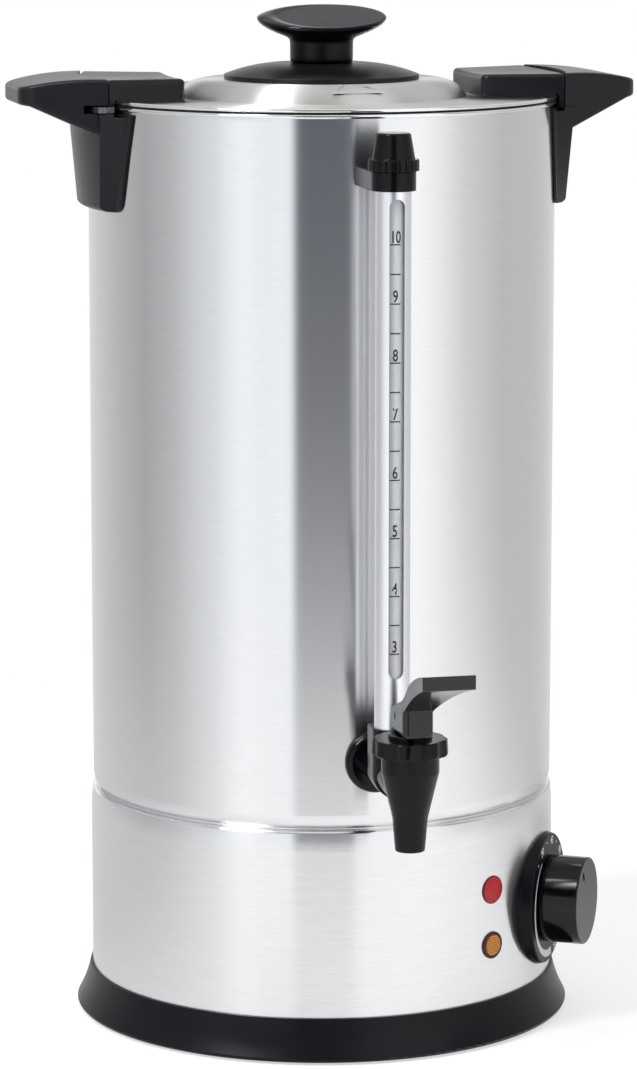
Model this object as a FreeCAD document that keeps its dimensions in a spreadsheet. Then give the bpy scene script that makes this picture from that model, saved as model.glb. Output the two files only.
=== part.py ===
import FreeCAD, Part
import math
import os

import Sketcher

# Hot water urn with a lever tap, in millimetres. The frame has its origin on the tank's axis at the
# worktop, +Z up and the tap towards -Y. An angle round the tank starts at the tap and grows towards +X.

doc = FreeCAD.newDocument("HotWaterUrn")
sheet = doc.addObject("Spreadsheet::Sheet", "Sizes")

Vector = FreeCAD.Vector
Z_AXIS = Vector(0, 0, 1)
Y_AXIS = Vector(0, 1, 0)
X_AXIS = Vector(1, 0, 0)

nodes = []
cuts = []


# Sizes that know both their number and the formula that gives it


class Size:
    """A number with the formula in the sheet's cells that gives it."""

    def __init__(self, value, formula=None):
        self.value = float(value)
        self.fixed = formula is None
        self.formula = formula or "(%r)" % float(value)

    def __add__(self, other):
        return joined(self, "+", other)

    def __radd__(self, other):
        return joined(other, "+", self)

    def __sub__(self, other):
        return joined(self, "-", other)

    def __rsub__(self, other):
        return joined(other, "-", self)

    def __mul__(self, other):
        return joined(self, "*", other)

    def __rmul__(self, other):
        return joined(other, "*", self)

    def __truediv__(self, other):
        return joined(self, "/", other)

    def __neg__(self):
        return joined(0, "-", self)


def as_size(number):
    return number if isinstance(number, Size) else Size(number)


def joined(first, sign, second):
    """The sum, difference, product or quotient of two sizes."""
    first, second = as_size(first), as_size(second)
    results = {
        "+": first.value + second.value,
        "-": first.value - second.value,
        "*": first.value * second.value,
        "/": first.value / (second.value or 1.0),
    }
    if first.fixed and second.fixed:
        return Size(results[sign])
    return Size(results[sign], "(%s %s %s)" % (first.formula, sign, second.formula))


def worked(function, name, number):
    number = as_size(number)
    value = function(number.value)
    return Size(value) if number.fixed else Size(value, "%s(%s)" % (name, number.formula))


def root(number):
    return worked(math.sqrt, "sqrt", number)


def sine(angle):
    return worked(lambda degrees: math.sin(math.radians(degrees)), "sin", angle)


def cosine(angle):
    return worked(lambda degrees: math.cos(math.radians(degrees)), "cos", angle)


def leg(slant, side):
    """The third side of a right triangle, from its slant side and one other side."""
    return root(slant * slant - side * side)


def arc_radius(run, drop):
    """The radius of an arc that starts level, goes out by run and falls by drop."""
    return (run * run + drop * drop) / (drop * 2)


def named(alias, value):
    """Writes a driving dimension into the sheet and gives its size."""
    row = named.row
    named.row += 1
    sheet.set("A%d" % row, alias)
    sheet.set("B%d" % row, repr(float(value)))
    sheet.setAlias("B%d" % row, alias)
    return Size(value, "Sizes." + alias)


named.row = 1


def worked_out(alias, size):
    """Writes a size that follows from others into the sheet, with its formula."""
    cell = "B%d" % named.row
    named(alias, size.value)
    sheet.set(cell, "=" + size.formula.replace("Sizes.", ""))
    return Size(size.value, "Sizes." + alias)


# Sketches


def bind(owner, path, size):
    size = as_size(size)
    if not size.fixed:
        owner.setExpression(path, size.formula)


def sketch_on(body, plane, name, shift=(0, 0, 0), turn=None):
    """A sketch on one of the body's origin planes, moved by shift and turned in that plane's axes."""
    sketch = body.newObject("Sketcher::SketchObject", name)
    support = [item for item in body.Origin.OriginFeatures if item.Role == plane + "_Plane"][0]
    sketch.AttachmentSupport = [(support, "")]
    sketch.MapMode = "FlatFace"
    shift = [as_size(part) for part in shift]
    axis, angle = turn if turn else (Z_AXIS, Size(0))
    angle = as_size(angle)
    base = Vector(*[part.value for part in shift])
    sketch.AttachmentOffset = FreeCAD.Placement(base, FreeCAD.Rotation(axis, angle.value))
    for letter, part in zip("xyz", shift):
        bind(sketch, "AttachmentOffset.Base." + letter, part)
    if turn:
        bind(sketch, "AttachmentOffset.Rotation.Angle", angle)
    return sketch


def hold(sketch, kind, index, spot, size):
    """Ties one coordinate of a point to the sketch's origin."""
    size = as_size(size)
    number = sketch.addConstraint(Sketcher.Constraint(kind, -1, 1, index, spot, size.value))
    bind(sketch, "Constraints[%d]" % number, size)


def curve_between(start, end, bend):
    """A line, or the arc of radius bend that turns left (or right, below 0) from start to end."""
    first = Vector(start[0].value, start[1].value, 0)
    last = Vector(end[0].value, end[1].value, 0)
    if bend is None:
        return Part.LineSegment(first, last), False
    chord = last - first
    radius = abs(bend.value)
    height = math.sqrt(max(radius * radius - chord.Length * chord.Length / 4, 0))
    left = bend.value > 0
    side = Vector(-chord.y, chord.x, 0).normalize() * (height if left else -height)
    centre = (first + last) / 2 + side
    if not left:
        first, last = last, first
    start_angle = math.atan2(first.y - centre.y, first.x - centre.x)
    end_angle = math.atan2(last.y - centre.y, last.x - centre.x)
    return Part.ArcOfCircle(Part.Circle(centre, Z_AXIS, radius), start_angle, end_angle), not left


def draw(sketch, corners):
    """Draws a closed outline of corners (x, y) or (x, y, radius of the arc to the next corner)."""
    points = [(as_size(corner[0]), as_size(corner[1])) for corner in corners]
    bends = [as_size(corner[2]) if len(corner) > 2 else None for corner in corners]
    ends = []
    for number, bend in enumerate(bends):
        following = points[(number + 1) % len(points)]
        curve, flipped = curve_between(points[number], following, bend)
        index = sketch.addGeometry(curve)
        ends.append((index, 2, 1) if flipped else (index, 1, 2))
        if bend is not None:
            radius = bend if bend.value > 0 else -bend
            tie = sketch.addConstraint(Sketcher.Constraint("Radius", index, radius.value))
            bind(sketch, "Constraints[%d]" % tie, radius)
    for number, (index, start, end) in enumerate(ends):
        after, after_start, after_end = ends[(number + 1) % len(ends)]
        sketch.addConstraint(Sketcher.Constraint("Coincident", index, end, after, after_start))
        hold(sketch, "DistanceX", index, start, points[number][0])
        hold(sketch, "DistanceY", index, start, points[number][1])


def draw_circle(sketch, x, y, radius):
    x, y, radius = as_size(x), as_size(y), as_size(radius)
    centre = Vector(x.value, y.value, 0)
    index = sketch.addGeometry(Part.Circle(centre, Z_AXIS, radius.value))
    tie = sketch.addConstraint(Sketcher.Constraint("Radius", index, radius.value))
    bind(sketch, "Constraints[%d]" % tie, radius)
    hold(sketch, "DistanceX", index, 3, x)
    hold(sketch, "DistanceY", index, 3, y)


# Features


def new_body(label):
    body = doc.addObject("PartDesign::Body", label)
    body.Label = label
    return body


def keep(thing):
    nodes.append(thing)
    return thing


def add(body, kind, name, sketch):
    feature = body.newObject("PartDesign::" + kind, name)
    feature.Profile = sketch
    if kind in ("Pocket", "Groove", "SubtractiveLoft"):
        cuts.append(feature)
    return feature


def turned(body, name, corners, cut=False, axis="V_Axis", plane="XZ", shift=(0, 0, 0), turn=None):
    """Turns an outline about an axis of its sketch, as a solid or as a cut."""
    sketch = sketch_on(body, plane, name + "Outline", shift, turn)
    draw(sketch, corners)
    feature = add(body, "Groove" if cut else "Revolution", name, sketch)
    feature.ReferenceAxis = (sketch, [axis])
    feature.Angle = 360
    return feature


def extruded(body, name, sketch, length, cut=False, forward=True, both=False):
    """Pushes a sketch out along its normal, or cuts along it."""
    feature = add(body, "Pocket" if cut else "Pad", name, sketch)
    length = as_size(length)
    feature.Length = length.value
    bind(feature, "Length", length)
    if both:
        feature.SideType = "Symmetric"
    feature.Reversed = (forward == cut) and not both
    return feature


def slab(body, name, corners, low, height, cut=False):
    """A plate, or a cut, of a plan outline from height low up by height."""
    sketch = sketch_on(body, "XY", name + "Outline", (0, 0, low))
    draw(sketch, corners)
    return extruded(body, name, sketch, height, cut)


def across(body, name, corners, width, cut=False, turn=None):
    """A side outline in Y and Z, given the same width both sides of its plane."""
    sketch = sketch_on(body, "YZ", name + "Outline", turn=turn)
    draw(sketch, corners)
    return extruded(body, name, sketch, width, cut, both=True)


def radial_hole(body, name, angle, places, reach):
    """Round holes (sideways, height, radius) bored outwards from the axis in the direction angle."""
    sketch = sketch_on(body, "XZ", name + "Circles", turn=(Y_AXIS, angle))
    for sideways, height, radius in places:
        draw_circle(sketch, sideways, height, radius)
    return extruded(body, name, sketch, reach, cut=True)


def upright_hole(body, name, places, low, height):
    """Round holes (x, y, radius) bored upwards from low."""
    sketch = sketch_on(body, "XY", name + "Circles", (0, 0, low))
    for x, y, radius in places:
        draw_circle(sketch, x, y, radius)
    return extruded(body, name, sketch, height, cut=True)


def rounded(body, name, radius, wanted):
    """Rounds the edges of the body's last feature whose middle and direction the test wants."""
    doc.recompute()
    base = body.Tip
    names = []
    for number, edge in enumerate(base.Shape.Edges, 1):
        middle = edge.valueAt((edge.FirstParameter + edge.LastParameter) / 2)
        run = edge.valueAt(edge.LastParameter) - edge.valueAt(edge.FirstParameter)
        if wanted(middle, run, edge):
            names.append("Edge%d" % number)
    feature = body.newObject("PartDesign::Fillet", name)
    feature.Base = (base, names)
    feature.Radius = as_size(radius).value
    bind(feature, "Radius", radius)
    return feature


def repeated(body, name, feature, count):
    """Repeats a feature evenly round the body's Z axis."""
    pattern = body.newObject("PartDesign::PolarPattern", name)
    pattern.Originals = [feature]
    axis = [item for item in body.Origin.OriginFeatures if item.Role == "Z_Axis"][0]
    pattern.Axis = (axis, [""])
    pattern.Angle = 360
    pattern.Occurrences = count
    body.Tip = pattern
    return pattern


def place(thing, x=0, y=0, z=0, turn=0, tilt=0):
    """Tilts a piece about X, turns it about Z and puts its origin at x, y, z."""
    x, y, z = as_size(x), as_size(y), as_size(z)
    spin = FreeCAD.Rotation(Z_AXIS, as_size(turn).value)
    lean = FreeCAD.Rotation(X_AXIS, as_size(tilt).value)
    thing.Placement = FreeCAD.Placement(Vector(x.value, y.value, z.value), spin.multiply(lean))
    for letter, part in zip("xyz", (x, y, z)):
        bind(thing, "Placement.Base." + letter, part)
    return thing


def facing_out(thing, angle, z):
    """Turns a piece so that its own Z axis points out from the tank's axis at an angle and height."""
    return place(thing, 0, 0, z, angle, 90)


def group(label, things):
    """One node of several separate solids."""
    compound = doc.addObject("Part::Compound", label)
    compound.Label = label
    compound.Links = things
    return keep(compound)


def box_corners(x_low, x_high, y_low, y_high):
    return [(x_low, y_low), (x_high, y_low), (x_high, y_high), (x_low, y_high)]


def ring_corners(inner, outer, low, high):
    return box_corners(inner, outer, low, high)


def on_ring(radius, angle):
    """The x and y of a point at an angle from the +X axis."""
    return radius * cosine(angle), radius * sine(angle)


def screw(label, shank, head, head_height, length):
    """A plain cap screw along its own Z, its head's underside at 0 and its shank upwards."""
    body = new_body(label)
    corners = [
        (0, -head_height),
        (head - head_height / 3, -head_height),
        (head, -head_height * 2 / 3),
        (head, 0),
        (shank, 0),
        (shank, length),
        (0, length),
    ]
    turned(body, label + "Turned", corners)
    return body


# Driving dimensions

sheet_wall = named("sheet_wall", 0.8)
tank_radius = named("tank_radius", 110)
foot_rise = named("foot_rise", 7.2)
tank_foot_tuck = named("tank_foot_tuck", 2.1)
tank_foot_bend = named("tank_foot_bend", 11)
neck_depth = named("neck_depth", 17.2)
tank_height = named("tank_height", 319.6)
rim_bead = named("rim_bead", 1.0)
floor_rise = named("floor_rise", 3)
floor_flange = named("floor_flange", 12)
floor_bend = named("floor_bend", 4)

skirt_step = named("skirt_step", 1)
skirt_top = named("skirt_top", 109)
ring_wall = named("ring_wall", 1.0)
ring_top = named("ring_top", 20.4)
ring_overhang = named("ring_overhang", 7.6)
ring_floor = named("ring_floor", 3.0)
ring_ledge = named("ring_ledge", 13)
ring_flare = named("ring_flare", 60)
foot_height = named("foot_height", 1.0)
foot_radius = named("foot_radius", 8)
foot_inset = named("foot_inset", 5)
foot_stem = named("foot_stem", 3)
plate_wall = named("plate_wall", 1.0)
slip = named("slip", 0.15)
shaft_play = named("shaft_play", 0.05)
bracket_width = named("bracket_width", 14)
bracket_height = named("bracket_height", 17)
bracket_reach = named("bracket_reach", 12)
bracket_wall = named("bracket_wall", 1.5)
base_screw_inset = named("base_screw_inset", 7)
base_screw = named("base_screw", 2.0)

heater_radius = named("heater_radius", 70)
heater_thick = named("heater_thick", 5)
element_inset = named("element_inset", 15)
element_tube = named("element_tube", 4)
element_leg = named("element_leg", 24)
element_sweep = named("element_sweep", 300)

tap_rise = named("tap_rise", 25)
tap_gap = named("tap_gap", 63.5)
barrel_radius = named("barrel_radius", 8)
shank_radius = named("shank_radius", 7)
shank_inside = named("shank_inside", 17)
barrel_bore = named("barrel_bore", 4.5)
washer_radius = named("washer_radius", 14.5)
washer_thick = named("washer_thick", 3.8)
gasket_radius = named("gasket_radius", 11)
gasket_thick = named("gasket_thick", 3)
tap_nut_radius = named("tap_nut_radius", 12.7)
tap_nut_thick = named("tap_nut_thick", 6)
chamber_radius = named("chamber_radius", 13)
chamber_rise = named("chamber_rise", 9.2)
chamber_tall = named("chamber_tall", 7.7)
chamber_wall = named("chamber_wall", 2.5)
chamber_neck = named("chamber_neck", 3.4)
cone_radius = named("cone_radius", 8)
cone_drop = named("cone_drop", 11.4)
spout_radius = named("spout_radius", 6.7)
spout_drop = named("spout_drop", 26.7)
spout_bore = named("spout_bore", 5.0)
seat_drop = named("seat_drop", 7.2)
seat_bore = named("seat_bore", 4.2)
nut_radius = named("nut_radius", 16.9)
nut_tall = named("nut_tall", 7.6)
guide_thick = named("guide_thick", 1.7)
guide_radius = named("guide_radius", 9.7)
guide_stand = named("guide_stand", 1.9)
stem_radius = named("stem_radius", 3)
stem_lower = named("stem_lower", 2.2)
cup_radius = named("cup_radius", 5.9)
cup_height = named("cup_height", 8)
cup_gap = named("cup_gap", 0.25)
spring_radius = named("spring_radius", 4.3)
spring_wire = named("spring_wire", 0.6)
spring_turns = named("spring_turns", 5)

pin_rise = named("pin_rise", 8)
pin_radius = named("pin_radius", 1.5)
heel_gap = named("heel_gap", 0.2)
hub_back = named("hub_back", 9.7)
hub_front = named("hub_front", 15.6)
hub_half = named("hub_half", 6.9)
paddle_half = named("paddle_half", 11.75)
paddle_reach = named("paddle_reach", 67.1)
paddle_rise = named("paddle_rise", 24.5)
paddle_tall = named("paddle_tall", 6.3)
lever_slot = named("lever_slot", 6.6)
hub_corner = named("hub_corner", 2.6)

gauge_gap = named("gauge_gap", 29.8)
glass_gap = named("glass_gap", 1.2)
guard_wall = named("guard_wall", 0.8)
guard_rise = named("guard_rise", 22.3)
guard_drop = named("guard_drop", 30.5)
slot_width = named("slot_width", 7)
slot_foot = named("slot_foot", 23.4)
slot_head = named("slot_head", 3.5)
glass_radius = named("glass_radius", 6)
glass_wall = named("glass_wall", 1.4)
seal_depth = named("seal_depth", 4.5)
seal_width = named("seal_width", 1.6)
lower_rim = named("lower_rim", 1)
lower_depth = named("lower_depth", 9.3)
upper_rim = named("upper_rim", 2.1)
upper_tall = named("upper_tall", 8.5)
spigot_radius = named("spigot_radius", 7)
spigot_height = named("spigot_height", 9)
cap_grip = named("cap_grip", 1.8)
cap_ring_tall = named("cap_ring_tall", 5.4)
cap_taper = named("cap_taper", 1.8)
cap_wall = named("cap_wall", 0.9)
cap_tall = named("cap_tall", 16.9)
cap_gap = named("cap_gap", 0.3)
knurl_count = named("knurl_count", 24)
gauge_bolt_rise = named("gauge_bolt_rise", 4.3)
gauge_bolt_radius = named("gauge_bolt_radius", 2.5)

lid_rise = named("lid_rise", 2.5)
lid_bead = named("lid_bead", 0.9)
dome_radius = named("dome_radius", 68.4)
dome_shoulder = named("dome_shoulder", 12.4)
dome_rise = named("dome_rise", 7.7)
seal_gap = named("seal_gap", 0.1)
seal_lip = named("seal_lip", 1.4)
seal_hang = named("seal_hang", 6)
vent_angle = named("vent_angle", 2)
vent_start = named("vent_start", 8)
vent_end = named("vent_end", 3.4)
vent_width = named("vent_width", 23)
vent_rise = named("vent_rise", 1.2)
knob_plate_radius = named("knob_plate_radius", 45.9)
knob_plate_edge = named("knob_plate_edge", 2.2)
knob_plate_rise = named("knob_plate_rise", 7.6)
knob_stem = named("knob_stem", 14.8)
knob_neck = named("knob_neck", 9)
knob_radius = named("knob_radius", 30.6)
knob_rise = named("knob_rise", 12.2)
knob_face_rise = named("knob_face_rise", 1.1)
knob_face_radius = named("knob_face_radius", 25)
knob_face_x = named("knob_face_x", 3.9)
knob_face_y = named("knob_face_y", -1.65)
knob_tilt = named("knob_tilt", 9.5)
knob_turn = named("knob_turn", 10)
knob_bore = named("knob_bore", 2.5)

handle_rise = named("handle_rise", 13.4)
handle_drop = named("handle_drop", 47.5)
ledge_drop = named("ledge_drop", 3.8)
handle_hug = named("handle_hug", 0.15)
flange_thick = named("flange_thick", 1.3)
leg_thick_low = named("leg_thick_low", 5.2)
leg_thick_high = named("leg_thick_high", 9.2)
leg_toe = named("leg_toe", 3.6)
wing_edge = named("wing_edge", 2)
seam_gap = named("seam_gap", 4.7)
seam_half = named("seam_half", 37)
wing_length = named("wing_length", 32.8)
wing_half = named("wing_half", 24.5)
wing_tip_fall = named("wing_tip_fall", 4.2)
wing_tip_drop = named("wing_tip_drop", 11.7)
wing_root_drop = named("wing_root_drop", 26.2)
wing_root_in = named("wing_root_in", 2.2)
leg_ear = named("leg_ear", 1.6)
lug_clear = named("lug_clear", 0.5)
lug_dish = named("lug_dish", 1.2)
lug_edge = named("lug_edge", 2.2)
lip_clear = named("lip_clear", 1.7)
lip_drop = named("lip_drop", 2.8)
lug_gap = named("lug_gap", 2.4)
lug_inner_half = named("lug_inner_half", 29)
tongue_drop = named("tongue_drop", 1.7)
tongue_thick = named("tongue_thick", 2.6)
tongue_length = named("tongue_length", 5.3)
tongue_bite = named("tongue_bite", 1)
tongue_start = named("tongue_start", 7)
tongue_end = named("tongue_end", 19.8)
slot_clear = named("slot_clear", 0.6)
slot_depth = named("slot_depth", 4)

dial_angle = named("dial_angle", 59)
dial_height = named("dial_height", 58.5)
dial_radius = named("dial_radius", 32.2)
dial_edge = named("dial_edge", 1.5)
dial_rise = named("dial_rise", 3)
dial_knob_radius = named("dial_knob_radius", 20.8)
dial_knob_tall = named("dial_knob_tall", 18.8)
pointer_angle = named("pointer_angle", 27)
pointer_place = named("pointer_place", 14.6)
pointer_half = named("pointer_half", 1.3)
pointer_half_length = named("pointer_half_length", 2.4)
dial_shaft = named("dial_shaft", 3)
dial_screw_place = named("dial_screw_place", 14)
lamp_angle = named("lamp_angle", 32.9)
lamp_height = named("lamp_height", 73.1)
lamp_radius = named("lamp_radius", 6.75)
reset_height = named("reset_height", 46.5)
reset_rim = named("reset_rim", 0.55)
lamp_body_radius = named("lamp_body_radius", 5)
inlet_height = named("inlet_height", 46)

handle_screw = named("handle_screw", 2.0)
handle_screw_grip = named("handle_screw_grip", 4.2)
lug_screw = named("lug_screw", 1.75)
lug_screw_inset = named("lug_screw_inset", 15.2)
lug_screw_y = named("lug_screw_y", 18)
bush_radius = named("bush_radius", 5)
dial_screw = named("dial_screw", 1.5)
thermostat_half = named("thermostat_half", 17)
shaft_depth = named("shaft_depth", 10)
inlet_half = named("inlet_half", 13.5)
inlet_rise = named("inlet_rise", 10)
inlet_screw_place = named("inlet_screw_place", 17)
inlet_screw = named("inlet_screw", 1.6)
socket_depth = named("socket_depth", 16)
probe_radius = named("probe_radius", 3)
cutout_radius = named("cutout_radius", 8)
cutout_place = named("cutout_place", 22)
gauge_feed = named("gauge_feed", 3)
gauge_bolt_depth = named("gauge_bolt_depth", 18)
reset_button_radius = named("reset_button_radius", 5.3)
reset_wall = named("reset_wall", 0.6)
reset_travel = named("reset_travel", 2)
plunger_radius = named("plunger_radius", 3.4)


# Values worked out from the driving dimensions

tank_foot_height = worked_out("tank_foot_height", skirt_top + foot_rise)
floor_height = worked_out("floor_height", skirt_top + floor_rise)
rim_height = worked_out("rim_height", tank_foot_height + tank_height)
tap_height = worked_out("tap_height", tank_foot_height + tap_rise)
skirt_radius = worked_out("skirt_radius", tank_radius + skirt_step)
ring_spread = worked_out("ring_spread", skirt_radius + ring_overhang)
ring_inner = worked_out("ring_inner", skirt_radius - ring_ledge)
foot_place = worked_out("foot_place", skirt_radius - foot_inset)
base_screw_place = worked_out("base_screw_place", skirt_radius - base_screw_inset)
element_ring = worked_out("element_ring", heater_radius - element_inset)
tap_reach = worked_out("tap_reach", tank_radius + tap_gap)
chamber_low = worked_out("chamber_low", tap_height + chamber_rise)
chamber_top = worked_out("chamber_top", chamber_low + chamber_tall)
cone_low = worked_out("cone_low", tap_height - cone_drop)
spout_low = worked_out("spout_low", tap_height - spout_drop)
seat_height = worked_out("seat_height", tap_height - seat_drop)
nut_top = worked_out("nut_top", chamber_top + nut_tall)
guide_top = worked_out("guide_top", nut_top + guide_stand)
heel_height = worked_out("heel_height", guide_top + heel_gap)
pin_height = worked_out("pin_height", heel_height + pin_rise)
paddle_low = worked_out("paddle_low", pin_height + paddle_rise)
paddle_top = worked_out("paddle_top", paddle_low + paddle_tall)
gauge_reach = worked_out("gauge_reach", tank_radius + gauge_gap)
guard_low = worked_out("guard_low", tap_height + guard_rise)
guard_top = worked_out("guard_top", rim_height - guard_drop)
slot_low = worked_out("slot_low", guard_low + slot_foot)
slot_top = worked_out("slot_top", guard_top - slot_head)
guard_radius = worked_out("guard_radius", glass_radius + glass_gap + guard_wall)
lower_half = worked_out("lower_half", guard_radius + lower_rim)
lower_back = worked_out("lower_back", gauge_reach - lower_depth)
upper_half = worked_out("upper_half", guard_radius + upper_rim)
upper_top = worked_out("upper_top", guard_top + upper_tall)
cap_head = worked_out("cap_head", spigot_radius + cap_wall)
cap_foot = worked_out("cap_foot", cap_head + cap_taper)
cap_ring = worked_out("cap_ring", cap_foot + cap_grip)
cap_ring_top = worked_out("cap_ring_top", upper_top + cap_ring_tall)
cap_top = worked_out("cap_top", upper_top + cap_tall)
gauge_bolt_height = worked_out("gauge_bolt_height", guard_top + gauge_bolt_rise)
gauge_bolt_end = worked_out("gauge_bolt_end", tank_radius + gauge_bolt_depth)
lid_flange = worked_out("lid_flange", rim_height + lid_rise)
dome_flat = worked_out("dome_flat", dome_radius - dome_shoulder)
dome_height = worked_out("dome_height", lid_flange + dome_rise)
vent_apex = worked_out("vent_apex", dome_flat - vent_start)
vent_mouth = worked_out("vent_mouth", dome_radius - vent_end)
knob_plate_top = worked_out("knob_plate_top", dome_height + knob_plate_rise)
knob_neck_top = worked_out("knob_neck_top", knob_plate_top + knob_neck)
knob_widest = worked_out("knob_widest", knob_neck_top + knob_rise)
knob_face = worked_out("knob_face", knob_widest + knob_face_rise)
handle_top = worked_out("handle_top", rim_height + handle_rise)
handle_low = worked_out("handle_low", rim_height - handle_drop)
handle_ledge = worked_out("handle_ledge", rim_height - ledge_drop)
seam_radius = worked_out("seam_radius", tank_radius + seam_gap)
wing_reach = worked_out("wing_reach", seam_radius + wing_length)
wing_tip_top = worked_out("wing_tip_top", handle_top - wing_tip_fall)
wing_tip_low = worked_out("wing_tip_low", handle_top - wing_tip_drop)
wing_root = worked_out("wing_root", handle_top - wing_root_drop)
lug_radius = worked_out("lug_radius", seam_radius - lug_clear)
lug_lip_inner = worked_out("lug_lip_inner", tank_radius + lip_clear)
lug_lip_low = worked_out("lug_lip_low", rim_height - lip_drop)
lug_inner = worked_out("lug_inner", dome_radius + lug_gap)
lug_screw_x = worked_out("lug_screw_x", lug_inner + lug_screw_inset)
tongue_low = worked_out("tongue_low", rim_height - tongue_drop)
tongue_reach = worked_out("tongue_reach", seam_radius + tongue_length)
tongue_root = worked_out("tongue_root", lug_lip_inner + tongue_bite)
slot_reach = worked_out("slot_reach", tongue_reach + slot_depth)
dial_face = worked_out("dial_face", skirt_radius + dial_rise)
dial_knob_face = worked_out("dial_knob_face", dial_face + dial_knob_tall)
dial_face_radius = worked_out("dial_face_radius", dial_radius - dial_edge)
reset_barrel = worked_out("reset_barrel", reset_button_radius + reset_wall)
reset_radius = worked_out("reset_radius", reset_barrel + reset_rim)
tank_inside = worked_out("tank_inside", tank_radius - sheet_wall)
neck_radius = worked_out("neck_radius", tank_radius - tank_foot_tuck)
neck_inside = worked_out("neck_inside", neck_radius - sheet_wall)
neck_bottom = worked_out("neck_bottom", tank_foot_height - neck_depth)
tuck_drop = worked_out("tuck_drop", leg(tank_foot_bend, tank_foot_bend - tank_foot_tuck))
tuck_bend_inside = worked_out("tuck_bend_inside", tank_foot_bend - sheet_wall)
tuck_drop_inside = worked_out("tuck_drop_inside", leg(tuck_bend_inside, tuck_bend_inside - tank_foot_tuck))
bead_centre = worked_out("bead_centre", tank_inside + rim_bead)
rim_top = worked_out("rim_top", rim_height + rim_bead)
ring_underside = foot_height
ring_plate = worked_out("ring_plate", foot_height + ring_floor)
skirt_inside = worked_out("skirt_inside", skirt_radius - sheet_wall)
floor_under = worked_out("floor_under", floor_height - sheet_wall)
heater_low = worked_out("heater_low", floor_under - heater_thick)
lid_under = worked_out("lid_under", lid_flange - sheet_wall)
lid_bead_centre = worked_out("lid_bead_centre", bead_centre + lid_bead / 9)
lid_bead_height = worked_out("lid_bead_height", lid_under + lid_bead)
pin_y = worked_out("pin_y", -tap_reach)


# Tank, skirt and base


def make_tank_shell():
    body = keep(new_body("tank_shell"))
    bead_foot = leg(rim_bead, bead_centre - tank_radius)
    corners = [
        (neck_inside, neck_bottom),
        (neck_radius, neck_bottom),
        (neck_radius, tank_foot_height - tuck_drop, tank_foot_bend),
        (tank_radius, tank_foot_height),
        (tank_radius, rim_height - bead_foot, rim_bead),
        (bead_centre + rim_bead, rim_height, rim_bead),
        (bead_centre, rim_top, rim_bead),
        (tank_inside, rim_height),
        (tank_inside, tank_foot_height, -tuck_bend_inside),
        (neck_inside, tank_foot_height - tuck_drop_inside),
    ]
    turned(body, "TankWall", corners)
    front_holes = [
        (0, tap_height, shank_radius),
        (0, gauge_bolt_height, gauge_bolt_radius),
    ]
    radial_hole(body, "TankFrontHoles", 0, front_holes, tank_radius * 1.2)
    sketch = sketch_on(body, "YZ", "HandleScrewCircles")
    for height in handle_screw_heights():
        draw_circle(sketch, 0, height, handle_screw)
    extruded(body, "HandleScrewHoles", sketch, tank_radius * 2.4, cut=True, both=True)


def make_tank_floor():
    body = keep(new_body("tank_floor"))
    corners = [
        (0, floor_under),
        (neck_inside - floor_bend, floor_under, -(floor_bend - sheet_wall)),
        (neck_inside - sheet_wall, floor_height - floor_bend),
        (neck_inside - sheet_wall, floor_height - floor_flange),
        (neck_inside, floor_height - floor_flange),
        (neck_inside, floor_height - floor_bend, floor_bend),
        (neck_inside - floor_bend, floor_height),
        (0, floor_height),
    ]
    turned(body, "FloorDish", corners)


def make_base_skirt():
    body = keep(new_body("base_skirt"))
    shoulder = skirt_top - 1.4
    waist = skirt_top - 9.5
    bulge = 60
    corners = [
        (skirt_inside, ring_plate),
        (skirt_radius, ring_plate),
        (skirt_radius, waist, bulge),
        (skirt_radius - 0.6, shoulder, 2.1),
        (neck_radius, skirt_top),
        (neck_radius, skirt_top - sheet_wall, -1.3),
        (skirt_inside - 0.6, shoulder - 0.2, -bulge),
        (skirt_inside, waist),
    ]
    turned(body, "SkirtWall", corners)
    dial_holes = [
        (0, dial_height, bush_radius),
        (dial_screw_place, dial_height, dial_screw),
        (-dial_screw_place, dial_height, dial_screw),
    ]
    radial_hole(body, "DialHoles", dial_angle, dial_holes, skirt_radius * 1.2)
    lamp_holes = [(0, lamp_height, lamp_body_radius), (0, reset_height, reset_barrel)]
    radial_hole(body, "LampHoles", lamp_angle, lamp_holes, skirt_radius * 1.2)
    sketch = sketch_on(body, "XZ", "InletOutline", turn=(Y_AXIS, 180))
    draw(sketch, box_corners(-inlet_half, inlet_half, inlet_height - inlet_rise, inlet_height + inlet_rise))
    extruded(body, "InletWindow", sketch, skirt_radius * 1.2, cut=True)
    inlet_holes = [
        (0, inlet_height + inlet_screw_place, inlet_screw),
        (0, inlet_height - inlet_screw_place, inlet_screw),
    ]
    radial_hole(body, "InletScrewHoles", 180, inlet_holes, skirt_radius * 1.2)


def make_base_ring():
    body = keep(new_body("base_ring"))
    inner = skirt_radius + slip
    corner = 2
    corners = [
        (ring_inner, ring_underside),
        (ring_spread - corner, ring_underside, corner),
        (ring_spread, ring_underside + corner, -ring_flare),
        (inner + ring_wall, ring_top),
        (inner, ring_top),
        (inner, ring_plate),
        (ring_inner, ring_plate),
    ]
    turned(body, "RingWall", corners)
    foot_holes = [on_ring(foot_place, angle) + (foot_stem,) for angle in FOOT_ANGLES]
    upright_hole(body, "FootHoles", foot_holes, ring_underside, ring_floor)
    screw_holes = [on_ring(base_screw_place, angle) + (base_screw,) for angle in BRACKET_ANGLES]
    upright_hole(body, "BaseScrewHoles", screw_holes, ring_underside, ring_floor)
    recesses = [on_ring(base_screw_place, angle) + (base_screw * 2,) for angle in BRACKET_ANGLES]
    upright_hole(body, "BaseScrewRecesses", recesses, ring_underside, ring_floor / 2)


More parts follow.
